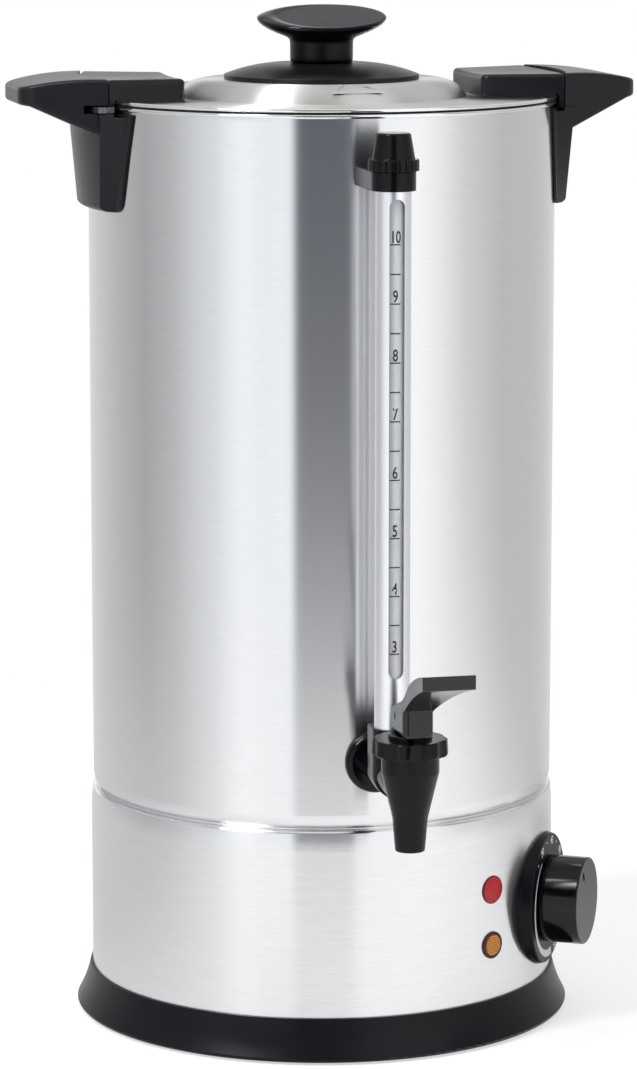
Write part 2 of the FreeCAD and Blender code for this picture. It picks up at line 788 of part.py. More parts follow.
def make_bottom_plate():
    body = keep(new_body("bottom_plate"))
    turned(body, "PlateDisc", box_corners(0, skirt_inside - slip, ring_plate, ring_plate + plate_wall))
    places = [on_ring(base_screw_place, angle) + (base_screw,) for angle in BRACKET_ANGLES]
    upright_hole(body, "PlateScrewHoles", places, ring_plate, plate_wall)
    sketch = sketch_on(body, "XY", "AirSlotOutline", (0, 0, ring_plate))
    slot_half = 2
    draw(sketch, box_corners(30, 60, -slot_half, slot_half))
    slot = extruded(body, "AirSlot", sketch, plate_wall, cut=True)
    repeated(body, "AirSlots", slot, 8)


def make_feet():
    feet = []
    for angle in FOOT_ANGLES:
        foot = new_body("foot_%d" % angle)
        edge = foot_height / 2
        corners = [
            (0, 0),
            (foot_radius - edge, 0),
            (foot_radius, edge),
            (foot_radius, foot_height),
            (foot_stem, foot_height),
            (foot_stem, ring_plate),
            (0, ring_plate),
        ]
        turned(foot, "Foot%dTurned" % angle, corners)
        x, y = on_ring(foot_place, angle)
        feet.append(place(foot, x, y, 0))
    group("feet", feet)


def make_skirt_brackets():
    """Angle brackets welded inside the skirt, which the base screws thread into."""
    brackets = []
    low = ring_plate + plate_wall
    for angle in BRACKET_ANGLES:
        bracket = new_body("bracket_%d" % angle)
        sketch = sketch_on(bracket, "XZ", "Bracket%dOutline" % angle)
        outer = leg(skirt_inside, bracket_width / 2)
        inner = outer - bracket_reach
        corners = [
            (inner, low),
            (outer, low),
            (outer, low + bracket_height),
            (outer - bracket_wall, low + bracket_height),
            (outer - bracket_wall, low + bracket_wall),
            (inner, low + bracket_wall),
        ]
        draw(sketch, corners)
        extruded(bracket, "Bracket%dAngle" % angle, sketch, bracket_width, both=True)
        upright_hole(bracket, "Bracket%dHole" % angle, [(base_screw_place, 0, base_screw)], low, bracket_wall)
        brackets.append(place(bracket, turn=angle))
    group("skirt_brackets", brackets)


def make_bottom_screws():
    screws = []
    seat = ring_underside + ring_floor / 2
    for angle in BRACKET_ANGLES:
        one = screw("base_screw_%d" % angle, base_screw, base_screw * 1.8, ring_floor / 2, ring_floor * 1.8)
        x, y = on_ring(base_screw_place, angle)
        screws.append(place(one, x, y, seat))
    group("bottom_screws", screws)


# Heater and controls inside the skirt


def make_heating_plate():
    body = keep(new_body("heating_plate"))
    edge = 1
    corners = [
        (0, heater_low),
        (heater_radius - edge, heater_low, edge),
        (heater_radius, heater_low + edge),
        (heater_radius, floor_under),
        (0, floor_under),
    ]
    turned(body, "HeaterDisc", corners)


def make_heating_element():
    """A tube bent round most of a circle, with both ends turned down to its terminals."""
    height = heater_low - element_tube
    torus = doc.addObject("Part::Torus", "ElementRing")
    torus.Radius1 = element_ring.value
    torus.Radius2 = element_tube.value
    torus.Angle3 = element_sweep.value
    bind(torus, "Radius1", element_ring)
    bind(torus, "Radius2", element_tube)
    bind(torus, "Angle3", element_sweep)
    start = (360 - element_sweep) / 2 + 90
    place(torus, 0, 0, height, start)
    pieces = [torus]
    for number, angle in enumerate((start, start + element_sweep)):
        terminal = doc.addObject("Part::Cylinder", "ElementEnd%d" % number)
        terminal.Radius = element_tube.value
        terminal.Height = element_leg.value
        bind(terminal, "Radius", element_tube)
        bind(terminal, "Height", element_leg)
        x, y = on_ring(element_ring, angle)
        pieces.append(place(terminal, x, y, height - element_leg))
    element = doc.addObject("Part::MultiFuse", "heating_element")
    element.Label = "heating_element"
    element.Shapes = pieces
    keep(element)


def make_heating_clamp():
    """A pressed saddle that holds the probe and the cut-out up against the heating plate."""
    body = keep(new_body("heater_clamp"))
    low = heater_low - probe_radius * 2
    reach = cutout_place + cutout_radius + 3
    wall = 1.2
    turned(body, "ClampDisc", box_corners(0, reach, low - wall, low))
    turned(body, "ClampBoss", box_corners(0, 5, low, heater_low))
    places = [(0, cutout_place, cutout_radius), (0, -cutout_place, cutout_radius / 2)]
    upright_hole(body, "ClampHoles", places, low - wall, wall)


def make_thermostat_probe():
    """The bulb against the heating plate, and the thin tube that leads from it to the thermostat."""
    body = keep(new_body("thermostat_probe"))
    bulb_height = heater_low - probe_radius
    bulb_end = element_ring - element_tube - 12
    bulb_start = bulb_end - 30
    shift = (0, bulb_height, 0)
    turned(body, "ProbeBulb", box_corners(bulb_start, bulb_end, 0, probe_radius), axis="H_Axis", shift=shift)
    spine = sketch_on(body, "XZ", "ProbeSpine")
    bend = 5
    under = heater_low - element_tube * 2 - 8
    over = skirt_inside - 12
    stop = dial_height + thermostat_half
    line = [
        (bulb_end - 2, bulb_height),
        (bulb_end + 2, bulb_height, -bend),
        (bulb_end + 2 + bend, bulb_height - bend),
        (bulb_end + 2 + bend, under + bend, bend),
        (bulb_end + 2 + bend * 2, under),
        (over - bend, under, -bend),
        (over, under - bend),
        (over, stop),
    ]
    draw_path(spine, line)
    end = sketch_on(body, "YZ", "ProbeSection", (0, 0, bulb_end - 2))
    draw_circle(end, 0, bulb_height, 0.8)
    pipe = add(body, "AdditivePipe", "ProbeTube", end)
    pipe.Spine = spine
    place(body, turn=dial_angle - 90)


def draw_path(sketch, corners):
    """Draws an open line of corners (x, y) or (x, y, radius of the arc to the next corner)."""
    points = [(as_size(corner[0]), as_size(corner[1])) for corner in corners]
    ends = []
    for number, corner in enumerate(corners[:-1]):
        bend = as_size(corner[2]) if len(corner) > 2 else None
        curve, flipped = curve_between(points[number], points[number + 1], bend)
        index = sketch.addGeometry(curve)
        ends.append((index, 2, 1) if flipped else (index, 1, 2))
        if bend is not None:
            radius = bend if bend.value > 0 else -bend
            tie = sketch.addConstraint(Sketcher.Constraint("Radius", index, radius.value))
            bind(sketch, "Constraints[%d]" % tie, radius)
    for number, (index, start, end) in enumerate(ends):
        hold(sketch, "DistanceX", index, start, points[number][0])
        hold(sketch, "DistanceY", index, start, points[number][1])
        if number + 1 < len(ends):
            after = ends[number + 1]
            sketch.addConstraint(Sketcher.Constraint("Coincident", index, end, after[0], after[1]))
    last = ends[-1]
    hold(sketch, "DistanceX", last[0], last[2], points[-1][0])
    hold(sketch, "DistanceY", last[0], last[2], points[-1][1])


def make_cutout_switch():
    body = keep(new_body("cutout_switch"))
    low = heater_low - probe_radius * 2
    corners = [
        (0, low - 8),
        (cutout_radius * 0.6, low - 8),
        (cutout_radius * 0.6, low - 4),
        (cutout_radius, low - 4),
        (cutout_radius, heater_low),
        (0, heater_low),
    ]
    turned(body, "CutoutTurned", corners)
    place(body, 0, cutout_place, 0)


def make_thermostat_body():
    body = keep(new_body("thermostat_body"))
    depth = 22
    front = leg(skirt_inside, thermostat_half)
    sketch = sketch_on(body, "XY", "CaseOutline", (0, 0, front - depth))
    draw(sketch, box_corners(-thermostat_half, thermostat_half, -thermostat_half, thermostat_half))
    extruded(body, "CaseBlock", sketch, depth)
    turned(body, "CaseBush", ring_corners(0, bush_radius, front - 1, dial_face - 1))
    bore = dial_shaft + shaft_play
    turned(body, "CaseBore", ring_corners(0, bore, front - shaft_depth, dial_face), cut=True)
    sketch = sketch_on(body, "XY", "CaseScrewCircles", (0, 0, front - 9))
    for side in (-1, 1):
        draw_circle(sketch, dial_screw_place * side, 0, dial_screw)
    extruded(body, "CaseScrewHoles", sketch, 10, cut=True)
    facing_out(body, dial_angle, dial_height)


def make_thermostat_shaft():
    body = keep(new_body("thermostat_shaft"))
    front = leg(skirt_inside, thermostat_half)
    low = front - shaft_depth + 0.3
    turned(body, "ShaftRod", ring_corners(0, dial_shaft, low, dial_knob_face - 6))
    facing_out(body, dial_angle, dial_height)


def make_thermostat_knob():
    body = keep(new_body("thermostat_knob"))
    low = dial_face + 0.3
    edge = 0.8
    corners = [
        (dial_shaft, low),
        (dial_knob_radius - edge, low, edge),
        (dial_knob_radius, low + edge),
        (dial_knob_radius, dial_knob_face - edge, edge),
        (dial_knob_radius - edge, dial_knob_face),
        (0, dial_knob_face),
        (0, dial_knob_face - 6),
        (dial_shaft, dial_knob_face - 6),
    ]
    turned(body, "KnobTurned", corners)
    sketch = sketch_on(body, "XY", "PointerOutline", (0, 0, dial_knob_face - 0.6), (Z_AXIS, pointer_angle))
    near = pointer_place - pointer_half_length + pointer_half
    far = pointer_place + pointer_half_length - pointer_half
    oval = [
        (pointer_half, near),
        (pointer_half, far, pointer_half),
        (0, far + pointer_half, pointer_half),
        (-pointer_half, far),
        (-pointer_half, near, pointer_half),
        (0, near - pointer_half, pointer_half),
    ]
    draw(sketch, oval)
    extruded(body, "PointerRecess", sketch, 2, cut=True)
    recess = [
        (dial_screw_place - 4, low),
        (dial_screw_place + 4, low),
        (dial_screw_place + 4, low + 2),
        (dial_screw_place - 4, low + 2),
    ]
    turned(body, "ScrewHeadRecess", recess, cut=True)
    facing_out(body, dial_angle, dial_height)


def trim_to_cylinder(body, name, radius, reach, outside=False):
    """Cuts a radially placed body back to a cylinder about the tank's axis."""
    sketch = sketch_on(body, "XY", name + "Outline")
    limit = radius * 1.4
    span = box_corners(radius, limit, -reach, reach) if outside else box_corners(0, radius, -reach, reach)
    draw(sketch, span)
    feature = add(body, "Groove", name, sketch)
    feature.ReferenceAxis = (sketch, ["V_Axis"])
    feature.Angle = 360


def make_dial_plate():
    body = keep(new_body("dial_plate"))
    back = leg(skirt_radius, dial_radius) - 1
    edge = 0.8
    corners = [
        (bush_radius, back),
        (dial_radius, back),
        (dial_radius, dial_face - 5),
        (dial_face_radius + 0.4, dial_face - edge, edge),
        (dial_face_radius - 0.4, dial_face),
        (bush_radius, dial_face),
    ]
    turned(body, "DialTurned", corners)
    trim_to_cylinder(body, "DialBack", skirt_radius, dial_radius + 5)
    sketch = sketch_on(body, "XY", "DialScrewCircles", (0, 0, back))
    for side in (-1, 1):
        draw_circle(sketch, dial_screw_place * side, 0, dial_screw)
    extruded(body, "DialScrewHoles", sketch, dial_radius, cut=True)
    facing_out(body, dial_angle, dial_height)


def make_dial_screws():
    screws = []
    for side in (-1, 1):
        one = screw("dial_screw_%s" % ("left" if side < 0 else "right"), dial_screw, 3, 1.4, 11)
        flip = FreeCAD.Rotation(X_AXIS, 90 + 180)
        spin = FreeCAD.Rotation(Z_AXIS, dial_angle.value)
        out = spin.multVec(Vector(side * dial_screw_place.value, -dial_face.value, 0))
        out.z = dial_height.value
        one.Placement = FreeCAD.Placement(out, spin.multiply(flip))
        reach_x = dial_screw_place * cosine(dial_angle) * side + dial_face * sine(dial_angle)
        reach_y = dial_screw_place * sine(dial_angle) * side - dial_face * cosine(dial_angle)
        bind(one, "Placement.Base.x", reach_x)
        bind(one, "Placement.Base.y", reach_y)
        bind(one, "Placement.Base.z", dial_height)
        screws.append(one)
    group("dial_screws", screws)


def make_lamp():
    lens = keep(new_body("heating_lamp_lens"))
    back = leg(skirt_radius, lamp_radius) - 0.5
    front = skirt_radius + 0.6
    corners = [
        (0, back),
        (lamp_radius, back),
        (lamp_radius, front - 0.6, 0.6),
        (lamp_radius - 0.6, front, lamp_radius * 3),
        (1, front + 0.9),
        (0, front + 0.9),
    ]
    turned(lens, "LensTurned", corners)
    trim_to_cylinder(lens, "LensBack", skirt_radius, lamp_radius + 2)
    facing_out(lens, lamp_angle, lamp_height)
    holder = keep(new_body("heating_lamp_body"))
    inner = skirt_radius - 26
    corners = [
        (0, inner),
        (lamp_body_radius, inner),
        (lamp_body_radius, skirt_radius + 1),
        (0, skirt_radius + 1),
    ]
    turned(holder, "HolderTurned", corners)
    trim_to_cylinder(holder, "HolderFront", skirt_radius, lamp_body_radius + 2, outside=True)
    facing_out(holder, lamp_angle, lamp_height)


def make_reset():
    """A push button in a bezel, with its switch and return spring behind."""
    back = leg(skirt_radius, reset_radius) - 0.5
    front = skirt_radius + 0.8
    bore = reset_button_radius + 0.15
    floor = skirt_radius - 3
    inner = skirt_radius - 26
    well = inner + 6
    spring_end = well + 6
    rim = 0.4
    housing = keep(new_body("reset_housing"))
    bezel = [
        (reset_barrel, back),
        (reset_radius, back),
        (reset_radius, front - rim, rim),
        (reset_radius - rim, front),
        (reset_barrel, front),
    ]
    turned(housing, "BezelTurned", bezel)
    trim_to_cylinder(housing, "BezelBack", skirt_radius, reset_radius + 2)
    turned(housing, "HousingBarrel", ring_corners(0, reset_barrel, inner, front))
    turned(housing, "ButtonWell", ring_corners(0, bore, floor, front + 1), cut=True)
    turned(housing, "PlungerBore", ring_corners(0, plunger_radius + 0.2, well, floor + 1), cut=True)
    facing_out(housing, lamp_angle, reset_height)
    button = keep(new_body("reset_button"))
    head = floor + reset_travel + 0.2
    top = skirt_radius + 1
    edge = 0.6
    corners = [
        (0, spring_end),
        (plunger_radius, spring_end),
        (plunger_radius, head),
        (reset_button_radius, head),
        (reset_button_radius, top - edge, edge),
        (reset_button_radius - edge, top),
        (0, top),
    ]
    turned(button, "ButtonTurned", corners)
    facing_out(button, lamp_angle, reset_height)
    spring = keep(new_body("reset_spring"))
    turned(spring, "ResetSpringSleeve", ring_corners(plunger_radius - 1, plunger_radius, well, spring_end))
    facing_out(spring, lamp_angle, reset_height)


def make_terminal_block():
    body = keep(new_body("terminal_block"))
    low = ring_plate + plate_wall
    slab(body, "TerminalBase", box_corners(-22, 22, 52, 68), low, 14)
    sketch = sketch_on(body, "XY", "TerminalSlotOutline", (0, 0, low + 8))
    for number in range(3):
        centre = (number - 1) * 14
        draw(sketch, box_corners(centre - 4.5, centre + 4.5, 50, 70))
    extruded(body, "TerminalSlots", sketch, 8, cut=True)


def make_power_inlet():
    """The socket at the back that the supply lead plugs into."""
    body = keep(new_body("power_inlet"))
    seat = leg(skirt_radius, inlet_half + 3) - 0.5
    face = skirt_radius + 3.5
    sketch = sketch_on(body, "XY", "FlangeOutline", (0, 0, seat))
    rise = inlet_screw_place + 5
    draw(sketch, box_corners(-inlet_half - 3, inlet_half + 3, -rise, rise))
    extruded(body, "InletFlange", sketch, face - seat)
    trim_to_cylinder(body, "FlangeBack", skirt_radius, rise + 4)
    sketch = sketch_on(body, "XY", "InletCaseOutline", (0, 0, skirt_radius - 22))
    draw(sketch, box_corners(-inlet_half, inlet_half, -inlet_rise, inlet_rise))
    extruded(body, "InletCase", sketch, 24)
    sketch = sketch_on(body, "XY", "SocketOutline", (0, 0, face - socket_depth))
    wide = inlet_half - 2
    tall = inlet_rise - 2.5
    corner = 3
    shape = [
        (-wide, -tall),
        (wide, -tall),
        (wide, tall - corner),
        (wide - corner, tall),
        (corner - wide, tall),
        (-wide, tall - corner),
    ]
    draw(sketch, shape)
    extruded(body, "SocketRecess", sketch, socket_depth + 1, cut=True)
    sketch = sketch_on(body, "XY", "InletScrewCircles", (0, 0, seat - 2))
    for side in (-1, 1):
        draw_circle(sketch, 0, inlet_screw_place * side, inlet_screw)
    extruded(body, "InletScrewBores", sketch, 12, cut=True)
    facing_out(body, 180, inlet_height)
    blades = []
    for number, (x, y) in enumerate(((-6, -3), (6, -3), (0, 3))):
        blade = new_body("blade_%d" % number)
        sketch = sketch_on(blade, "XY", "Blade%dOutline" % number, (0, 0, face - socket_depth))
        draw(sketch, box_corners(x - 1, x + 1, y - 2, y + 2))
        extruded(blade, "Blade%dBar" % number, sketch, socket_depth - 6)
        blades.append(facing_out(blade, 180, inlet_height))
    group("inlet_pins", blades)
    screws = []
    for side in (-1, 1):
        one = screw("inlet_screw_%s" % ("low" if side < 0 else "high"), inlet_screw, 3, 1.6, 9)
        screws.append(place(one, 0, face, inlet_height + inlet_screw_place * side, 0, 90))
    group("inlet_screws", screws)


# Tap


def make_tap_body():
    """One moulding: threaded shank, barrel, chamber, cone and spout, all bored through."""
    body = keep(new_body("tap_body"))
    centre = (-tap_reach, 0, 0)
    neck = chamber_radius - 0.8
    corners = [
        (0, spout_low),
        (spout_radius - 0.5, spout_low, 0.5),
        (spout_radius, spout_low + 0.5),
        (cone_radius, cone_low),
        (chamber_radius, chamber_low),
        (chamber_radius, chamber_top),
        (neck, chamber_top),
        (neck, chamber_top + chamber_neck),
        (0, chamber_top + chamber_neck),
    ]
    turned(body, "ChamberOutside", corners, plane="YZ", shift=centre)
    along = (0, tap_height, 0)
    barrel_end = tap_reach - chamber_radius / 2
    washer_face = tank_radius + washer_thick
    shank = [
        (-barrel_end, 0),
        (shank_inside - tank_radius, 0),
        (shank_inside - tank_radius, shank_radius),
        (-washer_face, shank_radius),
        (-washer_face, barrel_radius),
        (-barrel_end, barrel_radius),
    ]
    turned(body, "Barrel", shank, axis="H_Axis", plane="YZ", shift=along)
    floor_radius = cone_radius - 1.4
    cavity = [
        (0, spout_low - 1),
        (spout_bore, spout_low - 1),
        (spout_bore, seat_height - 3),
        (seat_bore, seat_height - 1.5),
        (seat_bore, seat_height),
        (floor_radius, seat_height),
        (chamber_radius - chamber_wall, chamber_low + 1),
        (chamber_radius - chamber_wall, chamber_top + chamber_neck + 1),
        (0, chamber_top + chamber_neck + 1),
    ]
    turned(body, "ChamberInside", cavity, cut=True, plane="YZ", shift=centre)
    bore = [
        (-tap_reach, 0),
        (1 + shank_inside - tank_radius, 0),
        (1 + shank_inside - tank_radius, barrel_bore),
        (-tap_reach, barrel_bore),
    ]
    turned(body, "BarrelBore", bore, cut=True, axis="H_Axis", plane="YZ", shift=along)
    upright_hole(body, "GaugeFeed", [(0, -gauge_reach, gauge_feed)], tap_height, barrel_radius + 2)


def make_tap_washers():
    washer = keep(new_body("tap_washer"))
    back = leg(tank_radius, washer_radius) - 0.5
    face = tank_radius + washer_thick
    corners = [
        (shank_radius, back),
        (washer_radius, back),
        (washer_radius, back + 1.3, washer_thick),
        (washer_radius - 2.4, face),
        (shank_radius, face),
    ]
    turned(washer, "WasherTurned", corners)
    trim_to_cylinder(washer, "WasherBack", tank_radius, washer_radius + 3)
    facing_out(washer, 0, tap_height)
    gasket = keep(new_body("tap_gasket"))
    back = tank_inside - gasket_thick
    turned(gasket, "GasketTurned", ring_corners(shank_radius, gasket_radius, back, tank_inside + 1))
    trim_to_cylinder(gasket, "GasketFront", tank_inside, gasket_radius + 3, outside=True)
    facing_out(gasket, 0, tap_height)
    nut = keep(new_body("tap_nut"))
    sketch = sketch_on(nut, "XY", "TapNutOutline", (0, 0, back - tap_nut_thick))
    hexagon = [on_ring(tap_nut_radius, 60 * corner) for corner in range(6)]
    draw(sketch, hexagon)
    extruded(nut, "TapNutBlock", sketch, tap_nut_thick)
    turned(nut, "TapNutBore", ring_corners(0, shank_radius, back - tap_nut_thick - 1, back + 1), cut=True)
    facing_out(nut, 0, tap_height)


def make_bonnet_nut():
    body = keep(new_body("bonnet_nut"))
    clamp = chamber_top + chamber_neck + guide_thick
    inner = chamber_radius - 0.6
    corners = [
        (inner, chamber_top),
        (nut_radius - 1.2, chamber_top, 1.2),
        (nut_radius, chamber_top + 1.2),
        (nut_radius - 0.3, nut_top - 1, 1),
        (nut_radius - 1.3, nut_top),
        (guide_radius + slip, nut_top),
        (guide_radius + slip, clamp),
        (inner, clamp),
    ]
    turned(body, "NutTurned", corners)
    sketch = sketch_on(body, "XY", "ScallopCircle", (0, 0, chamber_top - 1))
    scallop = 9
    draw_circle(sketch, nut_radius + scallop - 1.6, 0, scallop)
    feature = extruded(body, "NutScallop", sketch, nut_top - chamber_top + 2, cut=True)
    repeated(body, "NutScallops", feature, 8)
    place(body, 0, pin_y, 0)


def make_stem_guide():
    """The disc under the bonnet nut that guides the stem and carries the lever's heel."""
    body = keep(new_body("stem_guide"))
    seat = chamber_top + chamber_neck
    bore = stem_radius + shaft_play
    corners = [
        (bore, seat - 2.5),
        (chamber_radius - chamber_wall - slip, seat - 2.5),
        (chamber_radius - chamber_wall - slip, seat),
        (chamber_radius - 0.8, seat),
        (chamber_radius - 0.8, seat + guide_thick),
        (guide_radius, seat + guide_thick),
        (guide_radius, guide_top - 0.5, 0.5),
        (guide_radius - 0.5, guide_top),
        (bore, guide_top),
    ]
    turned(body, "GuideTurned", corners)
    place(body, 0, pin_y, 0)


def make_tap_stem():
    body = keep(new_body("tap_stem"))
    cup_low = seat_height + cup_gap
    corners = [
        (0, cup_low + 1.5),
        (stem_lower, cup_low + 1.5),
        (stem_lower, chamber_top - 4),
        (stem_radius, chamber_top - 4),
        (stem_radius, pin_height + 1.6, 1),
        (stem_radius - 1, pin_height + 2.6),
        (0, pin_height + 2.6),
    ]
    turned(body, "StemTurned", corners)
    sketch = sketch_on(body, "YZ", "PinHoleCircle")
    draw_circle(sketch, 0, pin_height, pin_radius)
    extruded(body, "PinHole", sketch, stem_radius * 4, cut=True, both=True)
    place(body, 0, pin_y, 0)


def make_seat_cup():
    body = keep(new_body("seat_cup"))
    low = seat_height + cup_gap
    corners = [
        (0, low),
        (cup_radius - 0.6, low, 0.6),
        (cup_radius, low + 0.6),
        (cup_radius, low + cup_height / 2),
        (cup_radius - 0.7, low + cup_height),
        (stem_lower, low + cup_height),
        (stem_lower, low + 1.5),
        (0, low + 1.5),
    ]
    turned(body, "CupTurned", corners)
    place(body, 0, pin_y, 0)


def make_tap_spring():
    body = keep(new_body("tap_spring"))
    low = seat_height + cup_gap + cup_height + spring_wire + 0.1
    high = chamber_top + chamber_neck - 2.5 - spring_wire - 0.1
    sketch = sketch_on(body, "XZ", "WireSection")
    near = spring_radius - spring_wire
    far = spring_radius + spring_wire
    draw(sketch, box_corners(near, far, low - spring_wire, low + spring_wire))
    coil = add(body, "AdditiveHelix", "SpringCoil", sketch)
    coil.ReferenceAxis = (sketch, ["V_Axis"])
    coil.Mode = "height-turns-angle"
    coil.Height = (high - low).value
    coil.Turns = spring_turns.value
    bind(coil, "Height", high - low)
    bind(coil, "Turns", spring_turns)
    place(body, 0, pin_y, 0)


def make_lever():
    """The hub sits over the stem and its paddle sweeps forwards and up from it."""
    body = keep(new_body("tap_lever"))
    corner = 2
    front = pin_y - hub_front
    back = pin_y + hub_back
    tip = pin_y - paddle_reach
    neck_y = front - 10.7
    side = [
        (back, heel_height),
        (back, heel_height + 9.9),
        (pin_y - 11.6, heel_height + 17.1),
        (neck_y, heel_height + 26.6, 190),
        (tip, paddle_top),
        (tip, paddle_low, -240),
        (front + 0.3, heel_height + 13),
        (front, heel_height + corner, corner),
        (front + corner, heel_height),
    ]
    across(body, "LeverSide", side, paddle_half * 2)
    sketch = sketch_on(body, "XY", "LeverPlanOutline", (0, 0, heel_height - 5))
    neck_end = front - 1
    for side_sign in (-1, 1):
        region = [
            (hub_half * side_sign, back + 5),
            (hub_half * side_sign, neck_end),
            (paddle_half * side_sign, tip),
            (paddle_half * side_sign, tip - 5),
            ((paddle_half + 5) * side_sign, tip - 5),
            ((paddle_half + 5) * side_sign, back + 5),
        ]
        draw(sketch, region)
    extruded(body, "LeverPlan", sketch, 60, cut=True)
    hub_top = (heel_height + 12).value
    hub_edge = lambda middle, run, edge: abs(run.z) > 4 and middle.z < hub_top and abs(run.y) < 0.5
    rounded(body, "LeverHubCorners", hub_corner, hub_edge)
    rounded(body, "LeverTipEdges", 0.6, lambda middle, run, edge: middle.y < tip.value + 0.01 and abs(run.x) > 1)
    half = lever_slot / 2
    slot_top_height = pin_height + 3.7
    slot = box_corners(-half, half, pin_y - 9, pin_y + 4)
    slab(body, "StemSlot", slot, heel_height - 1, slot_top_height - heel_height + 1, cut=True)
    sketch = sketch_on(body, "YZ", "LeverPinCircle")
    draw_circle(sketch, pin_y, pin_height, pin_radius + shaft_play)
    extruded(body, "LeverPinHole", sketch, hub_half * 4, cut=True, both=True)
    pin = keep(new_body("lever_pin"))
    length = hub_half * 2 - 0.6
    sketch = sketch_on(pin, "YZ", "PinSection")
    draw_circle(sketch, pin_y, pin_height, pin_radius)
    extruded(pin, "PinRod", sketch, length, both=True)


# Sight gauge


def plan_block(back, half):
    """A block's plan, flat-sided at the back and half round at the front, about the gauge's axis."""
    return [
        (-half, -back),
        (-half, -gauge_reach, half),
        (0, -gauge_reach - half, half),
        (half, -gauge_reach),
        (half, -back),
    ]


def make_gauge_base():
    """The block that wraps the tap's barrel and holds the foot of the glass."""
    body = keep(new_body("gauge_base"))
    low = tap_height - lower_half
    slab(body, "BaseBlock", plan_block(lower_back, lower_half), low, guard_low - low)
    sketch = sketch_on(body, "XZ", "BaseCornerOutline")
    reach = lower_half + 3
    for side in (-1, 1):
        bend = lower_half * -side
        corner = [
            (lower_half * side, tap_height, bend),
            (0, tap_height - lower_half),
            (0, tap_height - reach),
            (reach * side, tap_height - reach),
            (reach * side, tap_height),
        ]
        draw(sketch, corner)
    extruded(body, "BaseRounding", sketch, gauge_reach * 1.3, cut=True)
    along = (0, tap_height, 0)
    bore = box_corners(-gauge_reach * 1.3, -lower_back + 1, 0, barrel_radius)
    turned(body, "BarrelSeat", bore, cut=True, axis="H_Axis", plane="YZ", shift=along)
    glass_seat = guard_low - seal_depth - 1
    upright_hole(body, "FeedHole", [(0, -gauge_reach, gauge_feed)], tap_height, guard_low - tap_height)
    seat = [(0, -gauge_reach, glass_radius + seal_width)]
    upright_hole(body, "GlassSeat", seat, glass_seat, guard_low - glass_seat)


def make_gauge_glass():
    body = keep(new_body("gauge_glass"))
    low = guard_low - seal_depth - 1
    high = guard_top + seal_depth + 1
    turned(body, "GlassTurned", ring_corners(glass_radius - glass_wall, glass_radius, low, high))
    place(body, 0, -gauge_reach, 0)


def make_gauge_seals():
    seals = []
    for name, low in (("lower", guard_low - seal_depth), ("upper", guard_top)):
        seal = new_body("gauge_seal_" + name)
        outer = glass_radius + seal_width
        turned(seal, name + "SealTurned", ring_corners(glass_radius, outer, low, low + seal_depth))
        seals.append(place(seal, 0, -gauge_reach, 0))
    group("gauge_seals", seals)


def make_gauge_guard():
    body = keep(new_body("gauge_guard"))
    turned(body, "GuardTube", ring_corners(guard_radius - guard_wall, guard_radius, guard_low, guard_top))
    half = slot_width / 2
    sketch = sketch_on(body, "XZ", "GuardSlotOutline")
    shape = [
        (-half, slot_low + half, half),
        (0, slot_low, half),
        (half, slot_low + half),
        (half, slot_top - half, half),
        (0, slot_top, half),
        (-half, slot_top - half),
    ]
    draw(sketch, shape)
    extruded(body, "GuardSlot", sketch, guard_radius * 2, cut=True)
    place(body, 0, -gauge_reach, 0)


def make_gauge_top():
    """The block on the tank that holds the head of the glass, with a spigot for the cap."""
    body = keep(new_body("gauge_top"))
    back = tank_radius - 3
    slab(body, "TopBlock", plan_block(back, upper_half), guard_top, upper_top - guard_top)
    spigot = ring_corners(0, spigot_radius, upper_top - 1, upper_top + spigot_height)
    turned(body, "TopSpigot", spigot, plane="YZ", shift=(-gauge_reach, 0, 0))
    hug = ring_corners(0, tank_radius, guard_top - 1, upper_top + 1)
    turned(body, "TankHug", hug, cut=True)
    bore = glass_radius - glass_wall
    height = upper_top + spigot_height - guard_top
    upright_hole(body, "VentBore", [(0, -gauge_reach, bore)], guard_top, height)
    seat = [(0, -gauge_reach, glass_radius + seal_width)]
    upright_hole(body, "HeadSeat", seat, guard_top, seal_depth + 1)
    sketch = sketch_on(body, "XZ", "BoltHoleCircle")
    draw_circle(sketch, 0, gauge_bolt_height, gauge_bolt_radius)
    extruded(body, "BoltHole", sketch, gauge_bolt_end, cut=True)


def make_gauge_bolt():
    body = screw("gauge_bolt", gauge_bolt_radius, gauge_bolt_radius * 2, 3, gauge_bolt_end - tank_inside)
    keep(place(body, 0, -tank_inside + 0.12, gauge_bolt_height, 0, 90))


def make_gauge_cap():
    body = keep(new_body("gauge_cap"))
    low = upper_top + cap_gap
    edge = 1.2
    bore = spigot_radius + 0.3
    corners = [
        (bore, low),
        (cap_ring, low),
        (cap_ring, cap_ring_top - 0.6, 0.6),
        (cap_ring - 0.6, cap_ring_top),
        (cap_foot, cap_ring_top),
        (cap_head, cap_top - edge, edge),
        (cap_head - edge, cap_top),
        (0, cap_top),
        (0, upper_top + spigot_height + 1),
        (bore, upper_top + spigot_height + 1),
    ]
    turned(body, "CapTurned", corners)
    sketch = sketch_on(body, "XY", "KnurlOutline", (0, 0, low - 1))
    depth = 0.7
    draw(sketch, [(cap_ring - depth, 0), (cap_ring + 1, -1), (cap_ring + 1, 1)])
    groove = extruded(body, "KnurlGroove", sketch, cap_ring_top - low + 2, cut=True)
    repeated(body, "KnurlGrooves", groove, int(knurl_count.value))
    place(body, 0, -gauge_reach, 0)


# Lid


